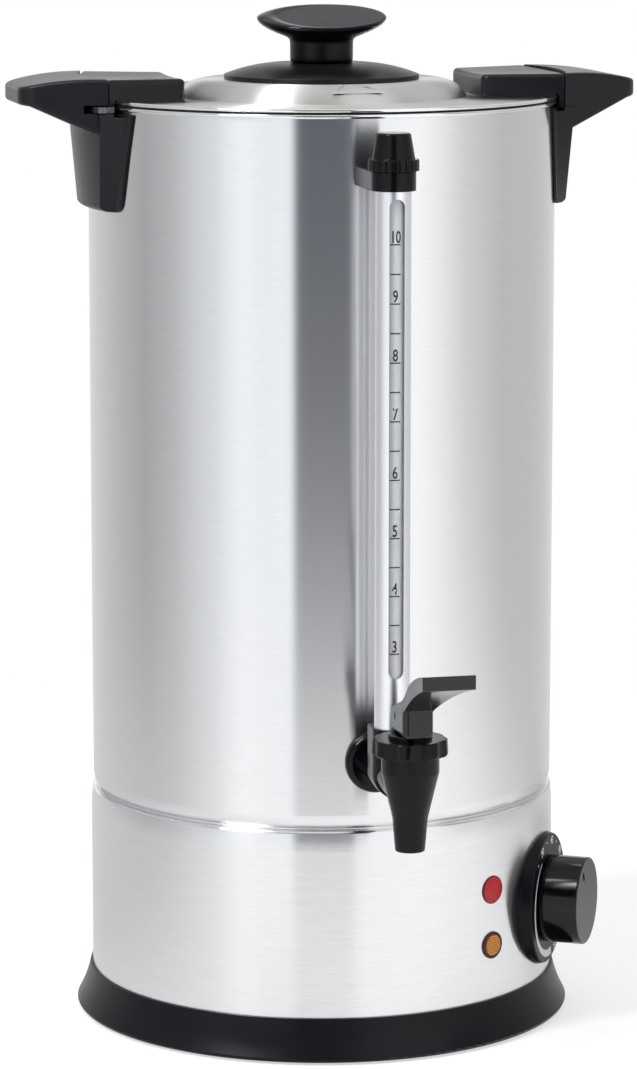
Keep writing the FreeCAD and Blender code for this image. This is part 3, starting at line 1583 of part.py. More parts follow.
def make_lid():
    body = keep(new_body("lid"))
    bend = arc_radius(dome_radius - dome_flat, dome_height - lid_flange)
    bend_under = bend - sheet_wall
    foot_under = dome_flat + leg(bend_under, lid_under - dome_height + bend)
    bead_side = leg(lid_bead, lid_bead_height - lid_flange)
    corners = [
        (0, dome_height - sheet_wall),
        (0, dome_height),
        (dome_flat, dome_height, -bend),
        (dome_radius, lid_flange),
        (lid_bead_centre - bead_side, lid_flange, -lid_bead),
        (lid_bead_centre, lid_bead_height + lid_bead, -lid_bead),
        (lid_bead_centre + lid_bead, lid_bead_height, -lid_bead),
        (lid_bead_centre, lid_under),
        (foot_under, lid_under, bend_under),
        (dome_flat, dome_height - sheet_wall),
    ]
    turned(body, "LidSheet", corners)
    make_vent(body)
    upright_hole(body, "KnobScrewHole", [(0, 0, knob_bore)], dome_height - sheet_wall * 2, sheet_wall * 3)
    places = [place_xy + (lug_screw,) for place_xy in lug_screw_places()]
    upright_hole(body, "LugScrewHoles", places, lid_under - 1, sheet_wall + 2)


def make_vent(body):
    """A pressed triangular facet that ends in a steam slit above the foot of the dome."""
    bend = arc_radius(dome_radius - dome_flat, dome_height - lid_flange)
    surface = dome_height - bend + leg(bend, vent_mouth - dome_flat)
    start = dome_height - 0.05
    slope = (start - surface - vent_rise) / (vent_mouth - vent_apex)
    half_slope = vent_width / 2 / (vent_mouth - vent_apex)
    above = dome_height + 1

    def section(reach, spread, low=None, thick=sheet_wall):
        height = start - (reach - vent_apex) * slope
        half = (reach - vent_apex) * half_slope + spread
        return reach, half, height - thick if low is None else height, height if low is None else low

    lofts = (
        ("VentPress", True, section(vent_apex, 0.2, above), section(vent_mouth, 0.2, above)),
        ("VentFacet", False, section(vent_apex, 1), section(vent_mouth, 1)),
    )
    for name, cut, near, far in lofts:
        vent_loft(body, name, cut, near, far)
    passage = []
    for reach in (vent_mouth - 8, vent_mouth - 0.5):
        _, half, low, _ = section(reach, -0.8)
        passage.append((reach, half, low - 3, low))
    vent_loft(body, "VentPassage", True, passage[0], passage[1])


def vent_loft(body, name, cut, near, far):
    """Joins two upright rectangles (reach, half width, low, high) that face outwards at the vent's angle."""
    sections = []
    for number, (reach, half, low, high) in enumerate((near, far)):
        shift = (reach * sine(vent_angle), 0, reach * cosine(vent_angle))
        sketch = sketch_on(body, "XZ", "%s%d" % (name, number), shift, (Y_AXIS, vent_angle))
        draw(sketch, box_corners(-half, half, low, high))
        sections.append(sketch)
    loft = add(body, "SubtractiveLoft" if cut else "AdditiveLoft", name, sections[0])
    loft.Sections = [(sections[1], [""])]
    loft.Ruled = True


def make_lid_seal():
    """A soft ring between the two rolled rims, with a lip that centres the lid in the tank."""
    body = keep(new_body("lid_seal"))
    top = lid_under - seal_gap
    low = rim_top + seal_gap
    outer = bead_centre + rim_bead / 2
    inner = tank_inside - 0.3
    corners = [
        (inner - seal_lip, rim_top - seal_hang),
        (inner, rim_top - seal_hang),
        (inner, low),
        (outer, low),
        (outer, top),
        (inner - seal_lip, top),
    ]
    turned(body, "SealTurned", corners)


def make_knob_plate():
    body = keep(new_body("knob_plate"))
    edge_top = dome_height + knob_plate_edge
    corners = [
        (knob_bore, dome_height),
        (knob_plate_radius, dome_height),
        (knob_plate_radius, edge_top, 78),
        (knob_stem, knob_plate_top),
        (knob_bore, knob_plate_top),
    ]
    turned(body, "KnobPlateTurned", corners)


def make_lid_knob():
    body = keep(new_body("lid_knob"))
    corners = [
        (0, knob_plate_top),
        (knob_stem, knob_plate_top),
        (knob_stem, knob_neck_top, -26),
        (knob_radius - 3.1, knob_widest - 3.5, 6),
        (knob_radius, knob_widest, 7),
        (knob_radius - 4.6, knob_widest + 6.2, 40),
        (0, knob_widest + 8.2),
    ]
    turned(body, "KnobMushroom", corners)
    sketch = sketch_on(body, "YZ", "KnobFaceOutline", (0, knob_face, 0), (Z_AXIS, knob_tilt))
    draw(sketch, box_corners(-knob_radius * 2, knob_radius * 2, 0, knob_radius))
    extruded(body, "KnobFace", sketch, knob_radius * 4, cut=True, both=True)
    centre_height = knob_face + knob_face_y * sine(knob_tilt) / cosine(knob_tilt)
    rim_fall = 3
    rim_end = knob_face_radius + 11
    rim = [
        (knob_face_radius, 0, -40),
        (rim_end, -rim_fall),
        (rim_end, 2),
        (knob_face_radius, 2),
    ]
    centre = (knob_face_y, centre_height, knob_face_x)
    turned(body, "KnobRim", rim, cut=True, plane="YZ", shift=centre, turn=(Z_AXIS, knob_tilt))
    turned(body, "KnobBore", ring_corners(0, knob_bore, knob_plate_top - 1, knob_neck_top + 4), cut=True)
    place(body, turn=knob_turn)
    body.setExpression("Placement.Rotation.Angle", knob_turn.formula)


def make_knob_screw():
    body = screw("knob_screw", knob_bore, knob_bore * 2, 3, knob_neck_top + 2 - dome_height)
    keep(place(body, 0, 0, dome_height - sheet_wall))


def lug_plan():
    corner = 4
    edge = leg(lug_radius, seam_half)
    return [
        (lug_inner + corner, -lug_inner_half),
        (edge, -seam_half, lug_radius),
        (edge, seam_half),
        (lug_inner + corner, lug_inner_half, corner),
        (lug_inner, lug_inner_half - corner),
        (lug_inner, corner - lug_inner_half, corner),
    ]


def sector(inner, outer, start, end):
    """The plan of a part of a ring between two angles from +X."""
    return [
        on_ring(outer, start) + (outer,),
        on_ring(outer, end),
        on_ring(inner, end) + (-inner,),
        on_ring(inner, start),
    ]


def lug_screw_places():
    return [(lug_screw_x * side, lug_screw_y * end) for side in (-1, 1) for end in (-1, 1)]


def make_lug(side, turn):
    """One of the lid's two grips: a block on the flange with a lip that hangs outside the rim."""
    body = keep(new_body("lug_" + side))
    slab(body, "LugBlock", lug_plan(), lid_flange, handle_top - lid_flange)
    edge = leg(lug_radius, seam_half)
    inward = lug_lip_inner / lug_radius
    lip = [
        (edge, -seam_half, lug_radius),
        (edge, seam_half),
        (edge * inward, seam_half * inward, -lug_lip_inner),
        (edge * inward, -seam_half * inward),
    ]
    slab(body, "LugLip", lip, lug_lip_low, lid_flange - lug_lip_low + 1)
    space_inner = lid_bead_centre - lid_bead - 0.1
    space_top = lid_bead_height + lid_bead + 0.1
    turned(body, "BeadSpace", ring_corners(space_inner, lug_lip_inner, lid_flange - 1, space_top), cut=True)
    seat = sector(tongue_root, tongue_reach, tongue_start, tongue_end)
    slab(body, "TongueSeat", seat, tongue_low, tongue_thick, cut=True)
    sketch = sketch_on(body, "XY", "LugScrewCircles", (0, 0, lid_flange - 1))
    for end in (-1, 1):
        draw_circle(sketch, lug_screw_x, lug_screw_y * end, lug_screw)
    extruded(body, "LugScrewBores", sketch, 7, cut=True)
    dish_half = seam_half + 3
    dish = [
        (-dish_half, handle_top, arc_radius(dish_half, lug_dish)),
        (0, handle_top - lug_dish, arc_radius(dish_half, lug_dish)),
        (dish_half, handle_top),
        (dish_half, handle_top + 2),
        (-dish_half, handle_top + 2),
    ]
    across(body, "LugDish", dish, lug_radius * 3, cut=True)
    limit = (handle_top - lug_dish).value - 0.01
    rounded(body, "LugTopEdges", lug_edge, lambda middle, run, edge: middle.z > limit)
    place(body, turn=turn)
    tongue = keep(new_body("tongue_" + side))
    nose = 2.5
    slab(tongue, "TonguePlate", seat, tongue_low, tongue_thick)
    far = tongue_reach.value - 0.5
    corner_test = lambda middle, run, edge: abs(run.z) > 1 and math.hypot(middle.x, middle.y) > far
    rounded(tongue, "TongueNose", nose, corner_test)
    place(tongue, turn=turn)


def make_lug_screws():
    screws = []
    for number, (x, y) in enumerate(lug_screw_places()):
        one = screw("lug_screw_%d" % number, lug_screw, lug_screw * 1.8, 2, 6)
        screws.append(place(one, x, y, lid_under))
    group("lug_screws", screws)


# Side handles


def handle_screw_heights():
    return [handle_low + 11.5, handle_low + 33.5]


def handle_section(flange, bevel, face, outer):
    """A level section through the handle's leg: flange on the tank, bevels and the outer face."""
    flange_radius = tank_radius + flange_thick
    points = [
        on_ring(flange_radius, -flange),
        on_ring(flange_radius + 0.2, -bevel),
        on_ring(outer, -face) + (outer,),
        on_ring(outer, face),
        on_ring(flange_radius + 0.2, bevel),
        on_ring(flange_radius, flange),
        on_ring(tank_radius - 3, flange),
        on_ring(tank_radius - 3, -flange),
    ]
    return points


def wing_rim(middle, run, inside_end):
    """Whether an edge runs round the top or the underside of the wing, outside the seam."""
    level = abs(run.z) < 0.7 * run.Length
    return level and middle.x > inside_end and middle.z > wing_root.value + 1


def make_handle(side, turn):
    """Moulded in one piece: the wing to lift by, the leg under it and the flange that hugs the tank."""
    body = keep(new_body("handle_" + side))
    tip_edge = leg(seam_radius, seam_half)
    plan = [
        (tip_edge - 15, -seam_half),
        (tip_edge, -seam_half),
        (wing_reach, -wing_half),
        (wing_reach, wing_half),
        (tip_edge, seam_half),
        (tip_edge - 15, seam_half),
    ]
    slab(body, "WingBlock", plan, wing_root, handle_top - wing_root)
    tip = wing_reach.value - 0.01
    corner_test = lambda middle, run, edge: abs(run.z) > 5 and middle.x > tip
    rounded(body, "WingCorners", 10, corner_test)
    sketch = sketch_on(body, "XZ", "WingSideOutline")
    leg_face = tank_radius + wing_root_in
    beyond = wing_reach + 10
    below = [
        (leg_face, wing_root - 5),
        (leg_face, wing_root),
        (wing_reach - 5, wing_tip_low - 0.9),
        (beyond, wing_tip_low + 0.6),
        (beyond, wing_root - 5),
    ]
    draw(sketch, below)
    top_bend = arc_radius(wing_reach - seam_radius, handle_top - wing_tip_top)
    above = [
        (seam_radius, handle_top, -top_bend),
        (wing_reach, wing_tip_top),
        (beyond, wing_tip_top - 2),
        (beyond, handle_top + 5),
        (seam_radius, handle_top + 5),
    ]
    draw(sketch, above)
    extruded(body, "WingSide", sketch, seam_half * 3, cut=True, both=True)
    inside_end = (tip_edge - 14).value
    rounded(body, "WingEdges", wing_edge, lambda middle, run, edge: wing_rim(middle, run, inside_end))
    low_section = sketch_on(body, "XY", "LegLowSection", (0, 0, handle_low))
    draw(low_section, handle_section(20.6, 18.8, 14.6, tank_radius + leg_thick_low))
    high_section = sketch_on(body, "XY", "LegHighSection", (0, 0, handle_ledge + leg_ear))
    draw(high_section, handle_section(26, 23.4, 18.8, tank_radius + leg_thick_high))
    loft = add(body, "AdditiveLoft", "Leg", low_section)
    loft.Sections = [(high_section, [""])]
    loft.Ruled = True
    toe = tank_radius + leg_thick_low
    toe_cut = [
        (toe - leg_toe, handle_low - 0.2, leg_toe),
        (toe + 0.5, handle_low + leg_toe + 0.4),
        (toe + 5, handle_low + leg_toe + 0.4),
        (toe + 5, handle_low - 1),
        (toe - leg_toe, handle_low - 1),
    ]
    turned(body, "LegToe", toe_cut, cut=True)
    foot_half = (tank_radius + flange_thick) * sine(20.6)
    corner = 6
    sketch = sketch_on(body, "YZ", "LegCornerOutline")
    for end in (-1, 1):
        cheek = [
            (foot_half * end - corner * end, handle_low - 0.2, corner * end),
            ((foot_half + 1) * end, handle_low + corner),
            ((foot_half + 4) * end, handle_low + corner),
            ((foot_half + 4) * end, handle_low - 1),
            (foot_half * end - corner * end, handle_low - 1),
        ]
        draw(sketch, cheek)
    extruded(body, "LegCorners", sketch, tank_radius * 1.3, cut=True, forward=True)
    turned(body, "TankHug", ring_corners(60, tank_radius + handle_hug, handle_low - 5, handle_top + 5), cut=True)
    turned(body, "LugSpace", ring_corners(60, seam_radius, handle_ledge + leg_ear, handle_top + 5), cut=True)
    lip_room = ring_corners(lug_lip_inner - 0.3, seam_radius, handle_ledge, handle_ledge + leg_ear + 1)
    turned(body, "LipSpace", lip_room, cut=True)
    slot_low_height = tongue_low - slot_clear
    slot_sector = sector(seam_radius - 4, slot_reach, tongue_start - 2, 40)
    slab(body, "LockSlot", slot_sector, slot_low_height, tongue_thick + slot_clear * 2, cut=True)
    sketch = sketch_on(body, "YZ", "ScrewBoreCircles", (0, 0, tank_radius - 2))
    for height in handle_screw_heights():
        draw_circle(sketch, 0, height, handle_screw)
    extruded(body, "ScrewBores", sketch, 2 + handle_screw_grip + 0.2, cut=True)
    place(body, turn=turn)


def make_handle_screws():
    screws = []
    inside = tank_inside - 0.1
    for side, turn in SIDES:
        for height in handle_screw_heights():
            number = len(screws)
            length = tank_radius + handle_screw_grip - inside
            one = screw("handle_screw_%d" % number, handle_screw, handle_screw * 2, 2.2, length)
            spin = FreeCAD.Rotation(Z_AXIS, turn)
            lean = FreeCAD.Rotation(Y_AXIS, 90)
            sign = 1 if turn == 0 else -1
            base = Vector(inside.value * sign, 0, height.value)
            one.Placement = FreeCAD.Placement(base, spin.multiply(lean))
            bind(one, "Placement.Base.x", inside * sign)
            bind(one, "Placement.Base.z", height)
            screws.append(one)
    group("handle_screws", screws)


# Places of the repeated pieces, and the order in which all are made

FOOT_ANGLES = (45, 135, 225, 315)
BRACKET_ANGLES = (0, 90, 180, 270)
SIDES = (("right", 0), ("left", 180))
make_tank_shell()
make_tank_floor()
make_base_skirt()
make_base_ring()
make_bottom_plate()
make_feet()
make_skirt_brackets()
make_bottom_screws()
make_heating_plate()
make_heating_element()
make_heating_clamp()
make_thermostat_probe()
make_cutout_switch()
make_thermostat_body()
make_thermostat_shaft()
make_thermostat_knob()
make_dial_plate()
make_dial_screws()
make_lamp()
make_reset()
make_terminal_block()
make_power_inlet()
make_tap_body()
make_tap_washers()
make_bonnet_nut()
make_stem_guide()
make_tap_stem()
make_seat_cup()
make_tap_spring()
make_lever()
make_gauge_base()
make_gauge_glass()
make_gauge_seals()
make_gauge_guard()
make_gauge_top()
make_gauge_bolt()
make_gauge_cap()
make_lid()
make_lid_seal()
make_knob_plate()
make_lid_knob()
make_knob_screw()
for side, turn in SIDES:
    make_lug(side, turn)
    make_handle(side, turn)
make_lug_screws()
make_handle_screws()

doc.recompute()

for item in doc.Objects:
    if "Invalid" in item.State or "Error" in item.State:
        raise ValueError("%s didn't build" % item.Name)
for cut in cuts:
    if not cut.Shape.Volume < cut.BaseFeature.Shape.Volume - 0.001:
        raise ValueError("%s cuts nothing" % cut.Name)

os.makedirs("parts", exist_ok=True)
for node in nodes:
    if node.Shape.isNull() or not node.Shape.isValid():
        raise ValueError("%s has no valid shape" % node.Label)
    node.Shape.exportStep("parts/%s.step" % node.Label)
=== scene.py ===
import math

import bmesh
import bpy
from mathutils import Matrix, Vector


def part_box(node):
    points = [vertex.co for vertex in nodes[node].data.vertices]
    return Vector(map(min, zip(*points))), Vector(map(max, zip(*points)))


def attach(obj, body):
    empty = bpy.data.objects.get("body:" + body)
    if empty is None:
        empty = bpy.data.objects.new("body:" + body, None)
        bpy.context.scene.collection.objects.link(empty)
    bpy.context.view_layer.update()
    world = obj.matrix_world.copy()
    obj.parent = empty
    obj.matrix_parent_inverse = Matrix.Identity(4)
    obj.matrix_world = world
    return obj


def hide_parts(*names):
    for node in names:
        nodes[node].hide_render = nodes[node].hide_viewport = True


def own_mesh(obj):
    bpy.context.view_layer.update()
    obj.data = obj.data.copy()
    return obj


# Looks of the hot water urn, in metres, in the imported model's frame: +Z up, the tap towards -Y.
# An angle round the tank starts at the tap and grows towards +X.

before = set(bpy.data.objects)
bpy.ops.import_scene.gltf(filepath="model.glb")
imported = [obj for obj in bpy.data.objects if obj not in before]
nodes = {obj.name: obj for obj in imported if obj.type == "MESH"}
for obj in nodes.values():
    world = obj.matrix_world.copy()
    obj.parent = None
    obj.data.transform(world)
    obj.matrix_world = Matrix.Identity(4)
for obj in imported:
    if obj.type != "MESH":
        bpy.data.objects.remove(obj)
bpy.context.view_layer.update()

MM = 0.001


def span(node, axis):
    """A node's lowest and highest value along an axis."""
    low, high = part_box(node)
    return low[axis], high[axis]


def middle(node, axis):
    """A node's middle along an axis."""
    return sum(span(node, axis)) / 2


# Places worked out from the frame

X, Y, Z = 0, 1, 2
gauge_y = middle("gauge_guard", Y)
glass_left, glass_right = span("gauge_glass", X)
glass_radius = (glass_right - glass_left) / 2
tank_rim = span("tank_shell", Z)[1]
lid_foot = span("lid", Z)[0]
knob_foot = span("lid_knob", Z)[0]
knob_reach = span("lid_knob", X)[1]
dial_height = middle("thermostat_knob", Z)
lamp_height = middle("heating_lamp_lens", Z)
reset_height = middle("reset_button", Z)

# Sizes of the urn that its boxes don't give

tank_radius = 110 * MM
dial_angle = math.radians(59)
dial_face = 114 * MM
lamp_angle = math.radians(32.9)


# Node graphs


class Graph:
    """Shader nodes of a material or of the world, with short names for what they do."""

    def __init__(self, tree):
        self.tree = tree
        tree.nodes.clear()

    def feed(self, socket, value):
        """Links a socket to another node's output, or sets its value."""
        if isinstance(value, bpy.types.NodeSocket):
            self.tree.links.new(value, socket)
        elif socket.type == "RGBA" and len(value) == 3:
            socket.default_value = (*value, 1)
        else:
            socket.default_value = value

    def node(self, kind, *values, **settings):
        """A new node, with its settings, and with values for its first inputs."""
        made = self.tree.nodes.new(kind)
        for key, value in settings.items():
            setattr(made, key, value)
        for socket, value in zip(made.inputs, values):
            self.feed(socket, value)
        return made

    def fill(self, made, **values):
        """Feeds a node's inputs by name, with underscores for the spaces in their names."""
        for key, value in values.items():
            self.feed(made.inputs[key.replace("_", " ")], value)
        return made

    def math(self, operation, *values):
        return self.node("ShaderNodeMath", *values, operation=operation).outputs[0]

    def plus(self, first, second):
        return self.math("ADD", first, second)

    def times(self, first, second):
        return self.math("MULTIPLY", first, second)

    def length(self, first, second):
        """Length of a line that goes two distances, square to each other."""
        return self.math("SQRT", self.plus(self.times(first, first), self.times(second, second)))

    def turn(self, x, y):
        """The angle round the Z axis, from -Y towards +X, in radians."""
        return self.math("ARCTAN2", x, self.times(y, -1.0))

    def place(self):
        """The point on the object in the row's frame, in metres."""
        return self.node("ShaderNodeTexCoord").outputs["Object"]

    def parts(self, vector):
        return self.node("ShaderNodeSeparateXYZ", vector).outputs

    def vector(self, x, y, z):
        return self.node("ShaderNodeCombineXYZ", x, y, z).outputs[0]

    def noise(self, vector, scale, detail, roughness):
        made = self.node("ShaderNodeTexNoise")
        self.fill(made, Vector=vector, Scale=scale, Detail=detail, Roughness=roughness)
        return made.outputs["Fac"]

    def drawn_out(self, point, scales, roughness):
        """Noise with a scale of its own along each of a point's three distances."""
        scaled = [self.times(distance, scale) for distance, scale in zip(point, scales)]
        return self.noise(self.vector(*scaled), 1.0, 3, roughness)

    def between(self, value, low, high, start=0.0, end=1.0):
        """Carries a value from one range to another, and holds it at the ends."""
        return self.node("ShaderNodeMapRange", value, low, high, start, end).outputs[0]

    def stretched(self, noise, start=0.0, end=1.0):
        """Carries the middle of a noise's range, which holds most of it, to another range."""
        return self.between(noise, 0.3, 0.7, start, end)

    def mix(self, share, first, second, how="MIX"):
        """Mixes two colours, or adds a share of the second to the first."""
        made = self.node("ShaderNodeMix", data_type="RGBA", blend_type=how)
        first_colour, second_colour = made.inputs[6], made.inputs[7]
        self.feed(made.inputs["Factor"], share)
        self.feed(first_colour, first)
        self.feed(second_colour, second)
        return made.outputs[2]

    def bump(self, height, distance, strength, **others):
        made = self.node("ShaderNodeBump")
        self.fill(made, Strength=strength, Distance=distance, Height=height, **others)
        return made.outputs[0]


class Surface(Graph):
    """A material: a graph round one shader."""

    def __init__(self, name, **values):
        self.material = bpy.data.materials.new(name)
        self.material.use_nodes = True
        super().__init__(self.material.node_tree)
        self.shader = self.node("ShaderNodeBsdfPrincipled")
        self.node("ShaderNodeOutputMaterial", self.shader.outputs["BSDF"])
        self.set(**values)

    def set(self, **values):
        self.fill(self.shader, **values)

    def polar(self):
        """Way round the tank's axis, distance from the axis, and height."""
        x, y, z = self.parts(self.place())
        return self.turn(x, y), self.length(x, y), z

    def facing(self, angle, height):
        """Sideways and upward distance from a point on the tank's side that faces an angle."""
        x, y, z = self.parts(self.place())
        along = self.plus(self.times(x, math.cos(angle)), self.times(y, math.sin(angle)))
        return along, self.math("SUBTRACT", z, height)


# Metals


def brushed_around(name, light, dark, rough, fineness=2600.0):
    """Steel brushed round the tank's axis, whose reflections spread up and down but stay sharp sideways."""
    graph = Surface(name, Metallic=1.0, Anisotropic=0.97, Anisotropic_Rotation=0.25)
    point = graph.polar()
    line_length = 11.0
    band_length = 2.5
    band_fineness = 1100.0
    band_share = 0.1
    uneven = 0.014
    lines = graph.drawn_out(point, (line_length, fineness, fineness), 0.6)
    bands = graph.drawn_out(point, (band_length, band_fineness, band_fineness), 0.5)
    share = graph.plus(graph.times(lines, 1 - band_share), graph.times(bands, band_share))
    tangent = graph.node("ShaderNodeTangent", direction_type="RADIAL", axis="Z")
    graph.set(Base_Color=graph.mix(graph.stretched(share), dark, light),
              Roughness=graph.stretched(share, rough + uneven, rough - uneven),
              Normal=graph.bump(share, 0.01 * MM, 0.04),
              Tangent=tangent.outputs[0])
    return graph.material


def plain_metal(name, colour, rough, grain=900.0):
    """A metal with a fine uneven finish, for pieces that are mostly out of sight."""
    graph = Surface(name, Metallic=1.0)
    uneven = 0.06
    darkening = 0.82
    speck = graph.noise(graph.place(), grain, 4, 0.6)
    shade = [part * darkening for part in colour]
    graph.set(Base_Color=graph.mix(graph.stretched(speck), shade, colour),
              Roughness=graph.stretched(speck, rough - uneven, rough + uneven),
              Normal=graph.bump(speck, 0.02 * MM, 0.3))
    return graph.material


def guard_metal():
    """Satin aluminium tube, drawn along its length."""
    graph = Surface("guard_aluminium", Metallic=1.0)
    fineness = 1800.0
    line_length = 12.0
    lines = graph.drawn_out(graph.parts(graph.place()), (fineness, fineness, line_length), 0.6)
    graph.set(Base_Color=graph.mix(graph.stretched(lines), (0.86, 0.87, 0.90), (0.93, 0.94, 0.96)),
              Roughness=graph.stretched(lines, 0.34, 0.28),
              Normal=graph.bump(lines, 0.01 * MM, 0.25))
    return graph.material


# Plastics, rubber and glass


def moulded(name, colour, rough, gloss, grain=2600.0, depth=0.03 * MM, edge=0.4 * MM, dull_below=None):
    """Moulded plastic or rubber with a fine grain, and softened edges that catch the light.

    Below a height it can be duller, as the shaded foot of the lid knob is.
    """
    graph = Surface(name, Specular_IOR_Level=gloss)
    place = graph.place()
    patches_per_metre = 38.0
    lightening = 1.35
    dulling = 0.22
    speck = graph.noise(place, grain, 2, 0.5)
    cloud = graph.noise(place, patches_per_metre, 3, 0.5)
    lighter = [min(1, part * lightening) for part in colour]
    finish = graph.stretched(cloud, rough - 0.02, rough + 0.03)
    if dull_below:
        height = graph.parts(place)[Z]
        finish = graph.plus(finish, graph.between(height, dull_below, dull_below + 4 * MM, dulling, 0.0))
    soft_edges = graph.fill(graph.node("ShaderNodeBevel", samples=4), Radius=edge).outputs[0]
    graph.set(Base_Color=graph.mix(graph.between(cloud, 0.35, 0.75), colour, lighter),
              Roughness=finish,
              Normal=graph.bump(speck, depth, 0.5, Normal=soft_edges))
    return graph.material


def clear_glass():
    """Tube of the sight gauge, frosted so that its marks read, and a little clouded by scale."""
    graph = Surface("gauge_glass_frosted", Transmission_Weight=0.25, IOR=1.47)
    patches_per_metre = 90.0
    cloud = graph.noise(graph.place(), patches_per_metre, 3, 0.6)
    graph.set(Base_Color=graph.mix(graph.stretched(cloud), (0.80, 0.82, 0.84), (0.88, 0.90, 0.91)),
              Roughness=graph.between(cloud, 0.35, 0.7, 0.16, 0.26))
    return graph.material


def lens(name, between_domes, domes, rim, height, radius, cells_per_metre, relief, dome_range=(0.12, 0.5)):
    """Moulded lamp lens with a honeycomb of small domes inside and a thin dark rim.

    A dome is whole up to the first distance from its middle, and ends at the second, in shares of a cell.
    """
    rim_blur = 0.5 * MM
    graph = Surface(name, Roughness=0.22, Specular_IOR_Level=0.3, Coat_Weight=0.12, Coat_Roughness=0.08)
    along, up = graph.facing(lamp_angle, height)
    flat = graph.vector(graph.times(along, cells_per_metre), graph.times(up, cells_per_metre), 0.0)
    cells = graph.node("ShaderNodeTexVoronoi", voronoi_dimensions="2D")
    graph.fill(cells, Vector=flat, Scale=1.0, Randomness=0.18)
    dome = graph.between(cells.outputs["Distance"], *dome_range, 1.0, 0.0)
    at_rim = graph.between(graph.length(along, up), radius, radius + rim_blur)
    graph.set(Base_Color=graph.mix(at_rim, graph.mix(dome, between_domes, domes), rim),
              Normal=graph.bump(dome, relief, 0.5))
    return graph.material


# What each node is made of


def paint(material, *names):
    """Gives a material to CAD nodes, or to new pieces."""
    for name in names:
        thing = nodes.get(name) or bpy.data.objects[name]
        thing.data.materials.clear()
        thing.data.materials.append(material)


def paint_metals():
    paint(brushed_around("brushed_steel_body", (0.79, 0.795, 0.805), (0.745, 0.75, 0.76), rough=0.20),
          "tank_shell", "base_skirt")
    paint(brushed_around("brushed_steel_lid", (0.78, 0.77, 0.76), (0.73, 0.72, 0.71), rough=0.42,
                         fineness=2200), "lid")
    paint(plain_metal("plain_steel", (0.62, 0.62, 0.63), rough=0.32),
          "tank_floor", "bottom_plate", "bottom_screws", "skirt_brackets", "heater_clamp", "handle_screws",
          "lug_screws", "knob_screw", "inlet_screws", "gauge_bolt", "lever_pin", "thermostat_shaft",
          "dial_screws")
    paint(plain_metal("dull_steel", (0.22, 0.22, 0.225), rough=0.42), "tongue_left", "tongue_right")
    paint(plain_metal("bright_steel", (0.74, 0.74, 0.75), rough=0.16),
          "heating_element", "tap_spring", "reset_spring", "thermostat_probe", "inlet_pins")
    paint(plain_metal("cast_aluminium", (0.66, 0.67, 0.69), rough=0.45, grain=700.0), "heating_plate")
    paint(plain_metal("turned_brass", (0.72, 0.52, 0.26), rough=0.26), "tap_nut", "tap_stem")
    paint(guard_metal(), "gauge_guard")


def paint_black_plastics():
    """Glossy pieces have a coarser, shallower grain and wider softened edges than satin ones."""
    polished = {"grain": 1800.0, "depth": 0.01 * MM, "edge": 0.8 * MM}
    paint(moulded("satin_black_plastic", (0.0066, 0.0074, 0.0096), rough=0.30, gloss=0.26),
          "handle_left", "handle_right", "lug_left", "lug_right", "power_inlet")
    paint(moulded("base_ring_plastic", (0.0042, 0.0046, 0.0068), rough=0.30, gloss=0.17), "base_ring")
    paint(moulded("knob_plate_plastic", (0.0055, 0.0055, 0.0065), rough=0.33, gloss=0.30), "knob_plate")
    paint(moulded("dial_plate_plastic", (0.0024, 0.0028, 0.0050), rough=0.32, gloss=0.15), "dial_plate")
    paint(moulded("gloss_black_plastic", (0.0024, 0.0026, 0.0034), rough=0.11, gloss=0.20, **polished),
          "tap_body", "tap_washer", "bonnet_nut", "stem_guide", "gauge_base", "gauge_top", "gauge_cap")
    paint(moulded("lever_black_plastic", (0.0070, 0.0080, 0.0105), rough=0.17, gloss=0.50, **polished),
          "tap_lever")
    paint(moulded("dial_black_plastic", (0.0022, 0.0022, 0.003), rough=0.09, gloss=0.30, grain=1800.0,
                  depth=0.006 * MM), "thermostat_knob")


def paint_other_mouldings():
    paint(moulded("lamp_bezel_plastic", (0.050, 0.012, 0.008), rough=0.30, gloss=0.3),
          "reset_housing", "heating_lamp_body")
    paint(moulded("foot_rubber", (0.012, 0.012, 0.012), rough=0.75, gloss=0.25, grain=1500.0,
                  depth=0.06 * MM), "feet")
    # The lid seal is near black as painted shade: it stands for the shadow in the gap between the lid and the
    # tank's rim
    paint(moulded("black_seal", (0.008, 0.008, 0.009), rough=0.5, gloss=0.2, grain=1500.0), "lid_seal")
    paint(moulded("silicone", (0.62, 0.60, 0.55), rough=0.45, gloss=0.5, grain=1200.0),
          "seat_cup", "tap_gasket", "gauge_seals")
    paint(moulded("white_ceramic", (0.72, 0.71, 0.67), rough=0.35, gloss=0.5, grain=900.0, depth=0.04 * MM),
          "cutout_switch", "thermostat_body", "terminal_block")


def paint_gauge_and_lamps():
    paint(clear_glass(), "gauge_glass")
    paint(lens("red_lens", (0.42, 0.003, 0.008), (0.86, 0.030, 0.050), (0.12, 0.004, 0.008), lamp_height,
               radius=6.0 * MM, cells_per_metre=900.0, relief=0.2 * MM), "heating_lamp_lens")
    paint(lens("amber_button", (0.93, 0.36, 0.022), (0.07, 0.012, 0.002), (0.16, 0.022, 0.006), reset_height,
               radius=4.7 * MM, cells_per_metre=870.0, relief=-0.2 * MM, dome_range=(0.24, 0.40)),
          "reset_button")


# New objects


def add_object(name, data):
    """A new object in the scene, which holds a mesh, a curve or a camera."""
    made = bpy.data.objects.new(name, data)
    bpy.context.scene.collection.objects.link(made)
    return made


def add_mesh(name, mesh):
    """A new object from a bmesh, which is used up."""
    data = bpy.data.meshes.new(name)
    mesh.to_mesh(data)
    mesh.free()
    return add_object(name, data)


# Printed marks


def flat_print(name, faces, carry):
    """A thin printed mark: outlines in a plane, carried to their place by a function, in one mesh."""
    mesh = bmesh.new()
    for outline in faces:
        mesh.faces.new([mesh.verts.new(carry(*point)) for point in outline])
    return add_mesh(name, mesh)


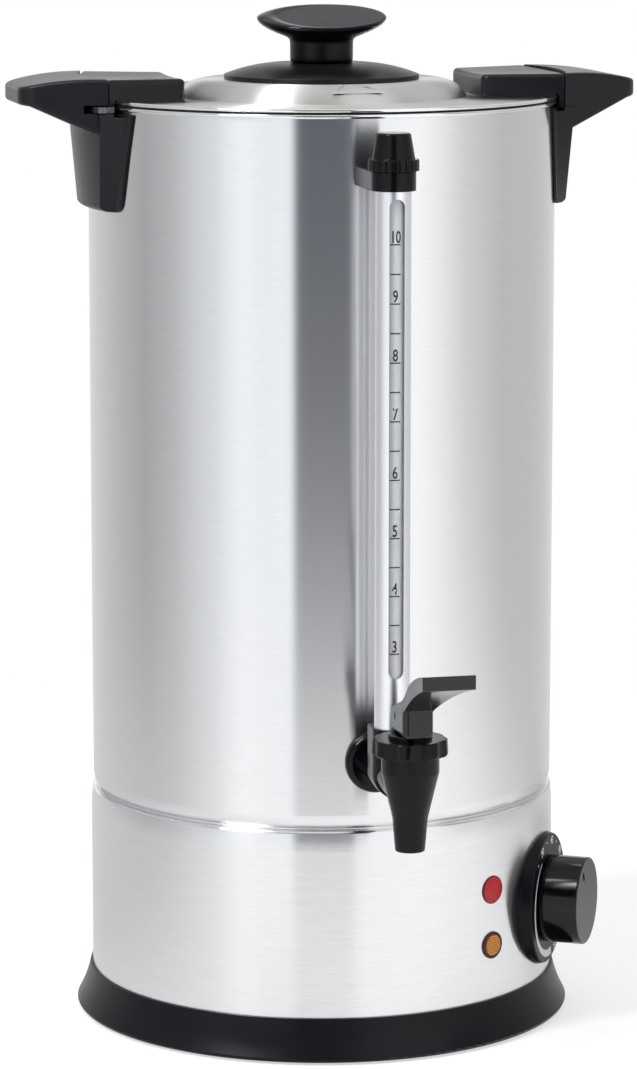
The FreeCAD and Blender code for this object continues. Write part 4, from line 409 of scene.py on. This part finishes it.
def number_faces(text, height, x, y, width_share, boldness):
    """The triangles of a number in the built-in font, centred on x with its foot at y."""
    size_per_height = 1.38
    curve = bpy.data.curves.new("number", "FONT")
    curve.body = text
    curve.size = height * size_per_height
    curve.align_x = "CENTER"
    curve.resolution_u = 4
    curve.offset = height * boldness
    holder = add_object("number", curve)
    bpy.context.view_layer.update()
    data = bpy.data.meshes.new_from_object(holder)
    data.calc_loop_triangles()
    points = [(x + vertex.co.x * width_share, y + vertex.co.y) for vertex in data.vertices]
    faces = [[points[i] for i in triangle.vertices] for triangle in data.loop_triangles]
    bpy.data.objects.remove(holder)
    bpy.data.meshes.remove(data)
    return faces


def ink(name, colour):
    """Printing ink, worn a little towards grey in specks."""
    graph = Surface(name, Roughness=0.45)
    specks_per_metre = 3000.0
    wear = 0.15
    worn_grey = 0.35
    speck = graph.noise(graph.place(), specks_per_metre, 2, 0.5)
    faded = [part * (1 - wear) + worn_grey * wear for part in colour]
    graph.set(Base_Color=graph.mix(graph.between(speck, 0.55, 0.9), colour, faded))
    return graph.material


def strip(left, right, low, high):
    """A rectangle cut into pieces side by side, so that it can follow a curve."""
    pieces = 6
    edges = [left + (right - left) / pieces * n for n in range(pieces + 1)]
    return [[(one, low), (other, low), (other, high), (one, high)] for one, other in zip(edges, edges[1:])]


def on_glass(x, z):
    """A point of a flat print carried onto the front of the glass tube."""
    ink_lift = 0.06 * MM
    radius = glass_radius + ink_lift
    turn = x / radius
    return (radius * math.sin(turn), gauge_y - radius * math.cos(turn), z)


def gauge_scale():
    """Litre marks with their numbers, and half-litre marks between them."""
    first_litre = 3
    half_litres = 15
    first_mark = 197.7 * MM
    litre = 26.26 * MM
    centre = -0.35 * MM
    half_width = 2.35 * MM
    thick = 0.55 * MM
    number_height = 5.4 * MM
    number_gap = 0.6 * MM
    faces = []
    for count in range(half_litres):
        z = first_mark + litre * count / 2
        faces += strip(centre - half_width, centre + half_width, z, z + thick)
        if count % 2 == 0:
            number = str(first_litre + count // 2)
            faces += number_faces(number, number_height, centre, z + thick + number_gap,
                                  width_share=0.66, boldness=0.022)
    marks = flat_print("gauge_scale_print", faces, on_glass)
    paint(ink("black_ink", (0.015, 0.015, 0.018)), marks.name)
    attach(marks, "urn")


def on_dial(x, y):
    """A point of a flat print carried onto the dial's face, x to the right and y up as seen from outside."""
    ink_lift = 0.05 * MM
    across = Vector((math.cos(dial_angle), math.sin(dial_angle), 0))
    outward = Vector((math.sin(dial_angle), -math.cos(dial_angle), 0))
    return outward * (dial_face + ink_lift) + across * x + Vector((0, 0, dial_height + y))


def heat_band():
    """A band that starts to the left of the dial's top, and widens as it goes down round it."""
    start = 33
    sweep = 157
    steps = 48
    first_radius, radius_growth = 23.1, 2.1
    first_width, width_growth = 0.5, 3.3
    edges = []
    for step in range(steps + 1):
        share = step / steps
        turn = math.radians(start + sweep * share)
        inner = (first_radius + radius_growth * share) * MM
        outer = inner + (first_width + width_growth * share) * MM
        edges.append([(-radius * math.sin(turn), radius * math.cos(turn)) for radius in (inner, outer)])
    return [[one[0], one[1], other[1], other[0]] for one, other in zip(edges, edges[1:])]


def dial_numbers(ring):
    """Plain numbers round the dial, each with its foot towards the centre."""
    height = 3.8 * MM
    first, step = 30, 15
    faces = []
    for count, degrees in enumerate(range(-26, 155, 36)):
        turn = math.radians(degrees)
        sine, cosine = math.sin(turn), math.cos(turn)
        number = str(first + step * count)
        for triangle in number_faces(number, height, 0, -height / 2, width_share=0.85, boldness=0.03):
            faces.append([(ring * sine + x * cosine + y * sine, ring * cosine - x * sine + y * cosine)
                          for x, y in triangle])
    return faces


def dial_dots(ring):
    """Dots between the dial's numbers."""
    radius = 0.6 * MM
    sides = 8
    corners = [2 * math.pi * n / sides for n in range(sides)]
    faces = []
    for degrees in range(-44, 173, 36):
        turn = math.radians(degrees)
        x, y = ring * math.sin(turn), ring * math.cos(turn)
        faces.append([(x + radius * math.cos(corner), y + radius * math.sin(corner)) for corner in corners])
    return faces


def dial_scale():
    """A heat band that widens as it goes round, with plain numbers and dots outside it."""
    number_ring = 27.8 * MM
    faces = heat_band() + dial_numbers(number_ring) + dial_dots(number_ring)
    marks = flat_print("dial_scale_print", faces, on_dial)
    paint(ink("white_ink", (0.97, 0.97, 0.97)), marks.name)
    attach(marks, "urn")


# Pieces that lie over the CAD model's, or replace them


def surface_piece(name, rings, closed=False, caps=False):
    """A mesh through rings of points, each ring with the same number of points round the tank's axis."""
    mesh = bmesh.new()
    grid = [[mesh.verts.new(point) for point in ring] for ring in rings]
    around = len(grid[0])
    rows = len(grid) if closed else len(grid) - 1
    for row in range(rows):
        low, high = grid[row], grid[(row + 1) % len(grid)]
        for n in range(around):
            mesh.faces.new((low[n], low[(n + 1) % around], high[(n + 1) % around], high[n]))
    if caps:
        mesh.faces.new(reversed(grid[0]))
        mesh.faces.new(grid[-1])
    bmesh.ops.recalc_face_normals(mesh, faces=mesh.faces)
    for face in mesh.faces:
        face.smooth = len(face.verts) == 4
    return add_mesh(name, mesh)


def rolled_bead(name, body, material, radius, height, edge):
    """A smooth round bead over a rolled steel edge, a hair thicker than the CAD model's."""
    around = 288
    section = 16
    proud = 0.03 * MM
    thick = edge + proud
    ways = [2 * math.pi * k / around for k in range(around)]
    rings = []
    for n in range(section):
        turn = 2 * math.pi * n / section
        out, up = radius + thick * math.cos(turn), height + thick * math.sin(turn)
        rings.append([(out * math.cos(way), out * math.sin(way), up) for way in ways])
    bead = surface_piece(name, rings, closed=True)
    paint(material, name)
    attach(bead, body)


def rim_beads():
    """Beads over the edges of the tank and the lid, whose bright reflections would show facets."""
    tank_edge = 1.0 * MM
    lid_edge = 0.9 * MM
    steel = brushed_around("polished_bead", (0.86, 0.86, 0.865), (0.82, 0.82, 0.825), rough=0.16,
                           fineness=900)
    rolled_bead("tank_rim_bead", "urn", steel, tank_radius + 0.2 * MM, tank_rim - tank_edge, tank_edge)
    rolled_bead("lid_rim_bead", "lid", steel, tank_radius + 0.3 * MM, lid_foot + lid_edge, lid_edge)


def smooth_curve(start, leave, arrive, end, steps):
    """Points along a curve from start to end that leaves and arrives towards two other points."""
    points = []
    for step in range(steps):
        t = step / (steps - 1)
        points.append(start * (1 - t) ** 3 + leave * 3 * t * (1 - t) ** 2
                      + arrive * 3 * t * t * (1 - t) + end * t ** 3)
    return points


def knob_profile(way):
    """The lid knob's outline in one direction from its axis, from its foot to near the middle of its face.

    The flare's pairs are shares of the way from the neck out to the rim, and from the neck's top up to it.
    """
    neck = 14.8 * MM
    foot_edge = 0.3 * MM
    neck_top = knob_foot + 9.4 * MM
    widest_height = knob_foot + 21.2 * MM
    front_narrowing = 2.8 * MM
    front_drop = 5.2 * MM
    tilt = math.tan(math.radians(9.5))
    face_radius = 25 * MM
    face_x, face_y, face_height = 3.9 * MM, -1.65 * MM, knob_foot + 21.95 * MM
    foot_shares = (0.3, 0.99)
    face_shares = (0.985, 0.6, 0.2)
    front_softness = 0.03
    left_swell, least_swell = 0.12, 0.02
    rim_rise, rim_swell = 0.50, 0.12
    rim_steps = 8
    flare = [(0.0, 0.0), (0.01, 0.10), (0.045, 0.18), (0.12, 0.26), (0.25, 0.345), (0.45, 0.46), (0.66, 0.59),
             (0.84, 0.74), (0.95, 0.875)]

    across, back = math.cos(way), math.sin(way)

    def at(radius, height):
        return Vector((radius * across, radius * back, height))

    front = (math.sqrt(back * back + front_softness) - back) / 2
    wide = knob_reach - front_narrowing * front ** 3
    top = widest_height - front_drop * front
    rim = at(wide, top)
    edge = Vector((face_x + face_radius * across, face_y + face_radius * back, 0))
    edge.z = face_height + edge.y * tilt
    centre = Vector((face_x, face_y, face_height + face_y * tilt))

    points = [at(share * neck, knob_foot) for share in foot_shares] + [at(neck, knob_foot + foot_edge)]
    points += [at(neck + (wide - neck) * out, neck_top + (top - neck_top) * up) for out, up in flare]
    gap = (edge - rim).length
    swell = max(0.0, -across) * left_swell + least_swell
    leave = rim + Vector((0, 0, rim_rise * (edge.z - rim.z) + rim_swell * gap))
    arrive = edge + Vector((across, back, back * tilt)) * 0.5 * gap + Vector((0, 0, swell * gap))
    points += smooth_curve(rim, leave, arrive, edge, rim_steps)
    points += [centre + (edge - centre) * share for share in face_shares]
    return points


def rounded_knob():
    """The lid knob: a flared neck, a thick rounded rim, and a flat face that is tilted towards the front."""
    around = 96
    turn = Matrix.Rotation(math.radians(-13), 3, "Z")
    profiles = [knob_profile(2 * math.pi * k / around) for k in range(around)]
    rings = [[turn @ point for point in ring] for ring in zip(*profiles)]
    knob = surface_piece("lid_knob_rounded", rings, caps=True)
    smooth = knob.modifiers.new("smooth", "SUBSURF")
    smooth.levels = 1
    smooth.render_levels = 1
    paint(moulded("knob_black_plastic", (0.0020, 0.0022, 0.0032), rough=0.13, gloss=0.22, grain=2200.0,
                  depth=0.01 * MM, dull_below=knob_foot + 13 * MM), knob.name)
    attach(knob, "lid")
    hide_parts("lid_knob")


def spring_coil(node, body):
    """A copy of a CAD spring with a mesh of its own, carried by a body as its joint moves; the CAD spring is
    hidden.
    """
    coil = add_object(node + "_coil", nodes[node].data.copy())
    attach(coil, body)
    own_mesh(coil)
    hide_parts(node)


# Floor, light and camera


def studio_floor():
    """A pale round table top that shows white to the camera and keeps the urn's soft shadow.

    Mirrored in the urn, it glows with a painted pool of light: brightest in front, and darker towards the
    sides and the back.
    """
    radius = 0.85
    towards_front = 0.1
    shade = 0.5
    white_glow = 0.58
    painted_brightest_x = 0.15
    side_share, back_share = 0.45, 0.94
    # Strengths of the painted light that the floor shows only in mirrors, in front and at the back
    painted_front_glow, painted_back_glow = 0.585, 0.13
    mesh = bmesh.new()
    bmesh.ops.create_circle(mesh, cap_ends=True, radius=radius, segments=96)
    bmesh.ops.translate(mesh, verts=mesh.verts, vec=(0, -towards_front, 0))
    floor = add_mesh("floor", mesh)
    material = bpy.data.materials.new("pale_floor")
    material.use_nodes = True
    graph = Graph(material.node_tree)
    diffuse = graph.node("ShaderNodeBsdfDiffuse", (shade, shade, shade))
    path = graph.node("ShaderNodeLightPath").outputs
    clear = graph.math("MAXIMUM", path["Is Camera Ray"], path["Is Transmission Ray"])
    x, y, _ = graph.parts(graph.place())
    sideways = graph.math("ABSOLUTE", graph.math("SUBTRACT", x, painted_brightest_x))
    away = graph.plus(graph.times(sideways, side_share), graph.times(y, back_share))
    # Painted light: in mirrored rays the floor glows brightest in front of the urn, and dimmer to the sides
    # and the back
    painted_mirror_glow = graph.times(path["Is Glossy Ray"], graph.between(away, -0.15, 0.27, painted_front_glow, painted_back_glow))
    glow = graph.node("ShaderNodeEmission")
    graph.fill(glow, Strength=graph.plus(graph.times(clear, white_glow), painted_mirror_glow))
    both = graph.node("ShaderNodeAddShader", diffuse.outputs[0], glow.outputs[0])
    graph.node("ShaderNodeOutputMaterial", both.outputs[0])
    floor.data.materials.append(material)


def light_around(graph, turn):
    """Light from all round: pale walls, with a dark gap in front, just to the left of the tap.

    Each stop has an angle in degrees and a colour. The colour ramp holds half of each, because it stops at 1.
    """
    dark = (0.080, 0.090, 0.112)
    stops = [
        (-180, (0.74, 0.74, 0.74)),
        (-150, (0.68, 0.68, 0.68)),
        (-110, (0.46, 0.46, 0.47)),
        (-92, (0.57, 0.58, 0.59)),
        (-76, (0.80, 0.82, 0.84)),
        (-62, (0.91, 0.94, 0.97)),
        (-46, (0.97, 1.00, 1.03)),
        (-36, (1.08, 1.11, 1.14)),
        (-28, (1.12, 1.16, 1.20)),
        (-24.8, dark),
        (1.8, dark),
        (4, (1.08, 1.10, 1.13)),
        (35, (1.20, 1.21, 1.22)),
        (50, (1.00, 1.00, 1.00)),
        (62, (0.80, 0.80, 0.79)),
        (85, (0.62, 0.62, 0.61)),
        (116, (0.64, 0.64, 0.63)),
        (150, (0.74, 0.74, 0.74)),
        (180, (0.74, 0.74, 0.74)),
    ]
    share = graph.plus(graph.math("DIVIDE", turn, 2 * math.pi), 0.5)
    around = graph.node("ShaderNodeValToRGB", share)
    elements = around.color_ramp.elements
    while len(elements) < len(stops):
        elements.new(0.5)
    for element, (degrees, colour) in zip(elements, stops):
        element.position = degrees / 360 + 0.5
        element.color = (*[part / 2 for part in colour], 1)
    halved = around.outputs["Color"]
    return graph.mix(1.0, halved, halved, "ADD")


def add_light_boxes(graph, turn, lift, light):
    """Adds soft boxes to the light: angles in degrees from and to, heights from and to, and strength."""
    boxes = [
        (-70, -54, 0.62, 0.87, 22.0),
        (-180, -160, -0.02, 0.20, 0.35),
        (156, 180, -0.02, 0.20, 0.35),
        (-180, -160, 0.52, 0.80, 0.35),
        (-155, -80, 0.38, 0.80, 0.35),
        (80, 150, 0.38, 0.80, 0.45),
        (155, 180, 0.52, 0.80, 0.35),
        (8, 52, 0.34, 0.66, 1.1),
        (-180, -168, 0.835, 0.855, 4.0),
        (168, 180, 0.835, 0.855, 4.0),
    ]
    side_blur = 2.5
    end_blur = 0.02

    def within(value, low, high, blur):
        return graph.times(graph.between(value, low - blur, low), graph.between(value, high + blur, high))

    degrees = graph.times(turn, 180 / math.pi)
    for left, right, low, high, strength in boxes:
        box = graph.times(within(degrees, left, right, side_blur), within(lift, low, high, end_blur))
        light = graph.mix(box, light, (strength, strength, strength), "ADD")
    return light


def studio_world():
    """Soft light from all round and above, and a white background for the camera.

    Heights are sines of the angle above the horizon.
    """
    upper_light = (0.30, 0.31, 0.33)
    front_top_light = (1.12, 1.09, 1.05)
    back_top_light = (0.62, 0.61, 0.60)
    world = bpy.data.worlds.new("studio")
    bpy.context.scene.world = world
    world.use_nodes = True
    graph = Graph(world.node_tree)
    x, y, lift = graph.parts(graph.node("ShaderNodeTexCoord").outputs["Generated"])
    turn = graph.turn(x, y)
    sides = graph.mix(graph.between(lift, 0.28, 0.37), light_around(graph, turn), upper_light)
    above = graph.mix(graph.between(y, -0.35, 0.35), front_top_light, back_top_light)
    whole = graph.mix(graph.between(lift, 0.70, 0.86), sides, above)
    lit = graph.node("ShaderNodeBackground", add_light_boxes(graph, turn, lift, whole))
    white = graph.node("ShaderNodeBackground", (1, 1, 1))
    path = graph.node("ShaderNodeLightPath").outputs
    seen = graph.math("MAXIMUM", path["Is Camera Ray"], path["Is Transmission Ray"])
    pick = graph.node("ShaderNodeMixShader", seen, lit.outputs[0], white.outputs[0])
    graph.node("ShaderNodeOutputWorld", pick.outputs[0])


def photo_camera():
    """The photograph's viewpoint: a little to the left of the tap, looking slightly down."""
    turn = math.radians(-13.1)
    distance = 2.040
    height = 0.5727
    pitch = math.radians(9.58)
    sensor = 36
    photo_long_side = 1069
    focal_pixels = 4320
    axis_pixel = 321.5
    middle_pixel = 318.5
    data = bpy.data.cameras.new("photo_camera")
    data.sensor_width = sensor
    data.lens = sensor * focal_pixels / photo_long_side
    data.shift_x = -(axis_pixel - middle_pixel) / photo_long_side
    camera = add_object("photo_camera", data)
    camera.location = (distance * math.sin(turn), -distance * math.cos(turn), height)
    camera.rotation_euler = (math.pi / 2 - pitch, 0, turn)
    bpy.context.scene.camera = camera


# The whole model

paint_metals()
paint_black_plastics()
paint_other_mouldings()
paint_gauge_and_lamps()

gauge_scale()
dial_scale()
spring_coil("tap_spring", "stem")
spring_coil("reset_spring", "urn")
rim_beads()
rounded_knob()

studio_floor()
studio_world()
photo_camera()
bpy.context.scene.view_settings.view_transform = "Standard"
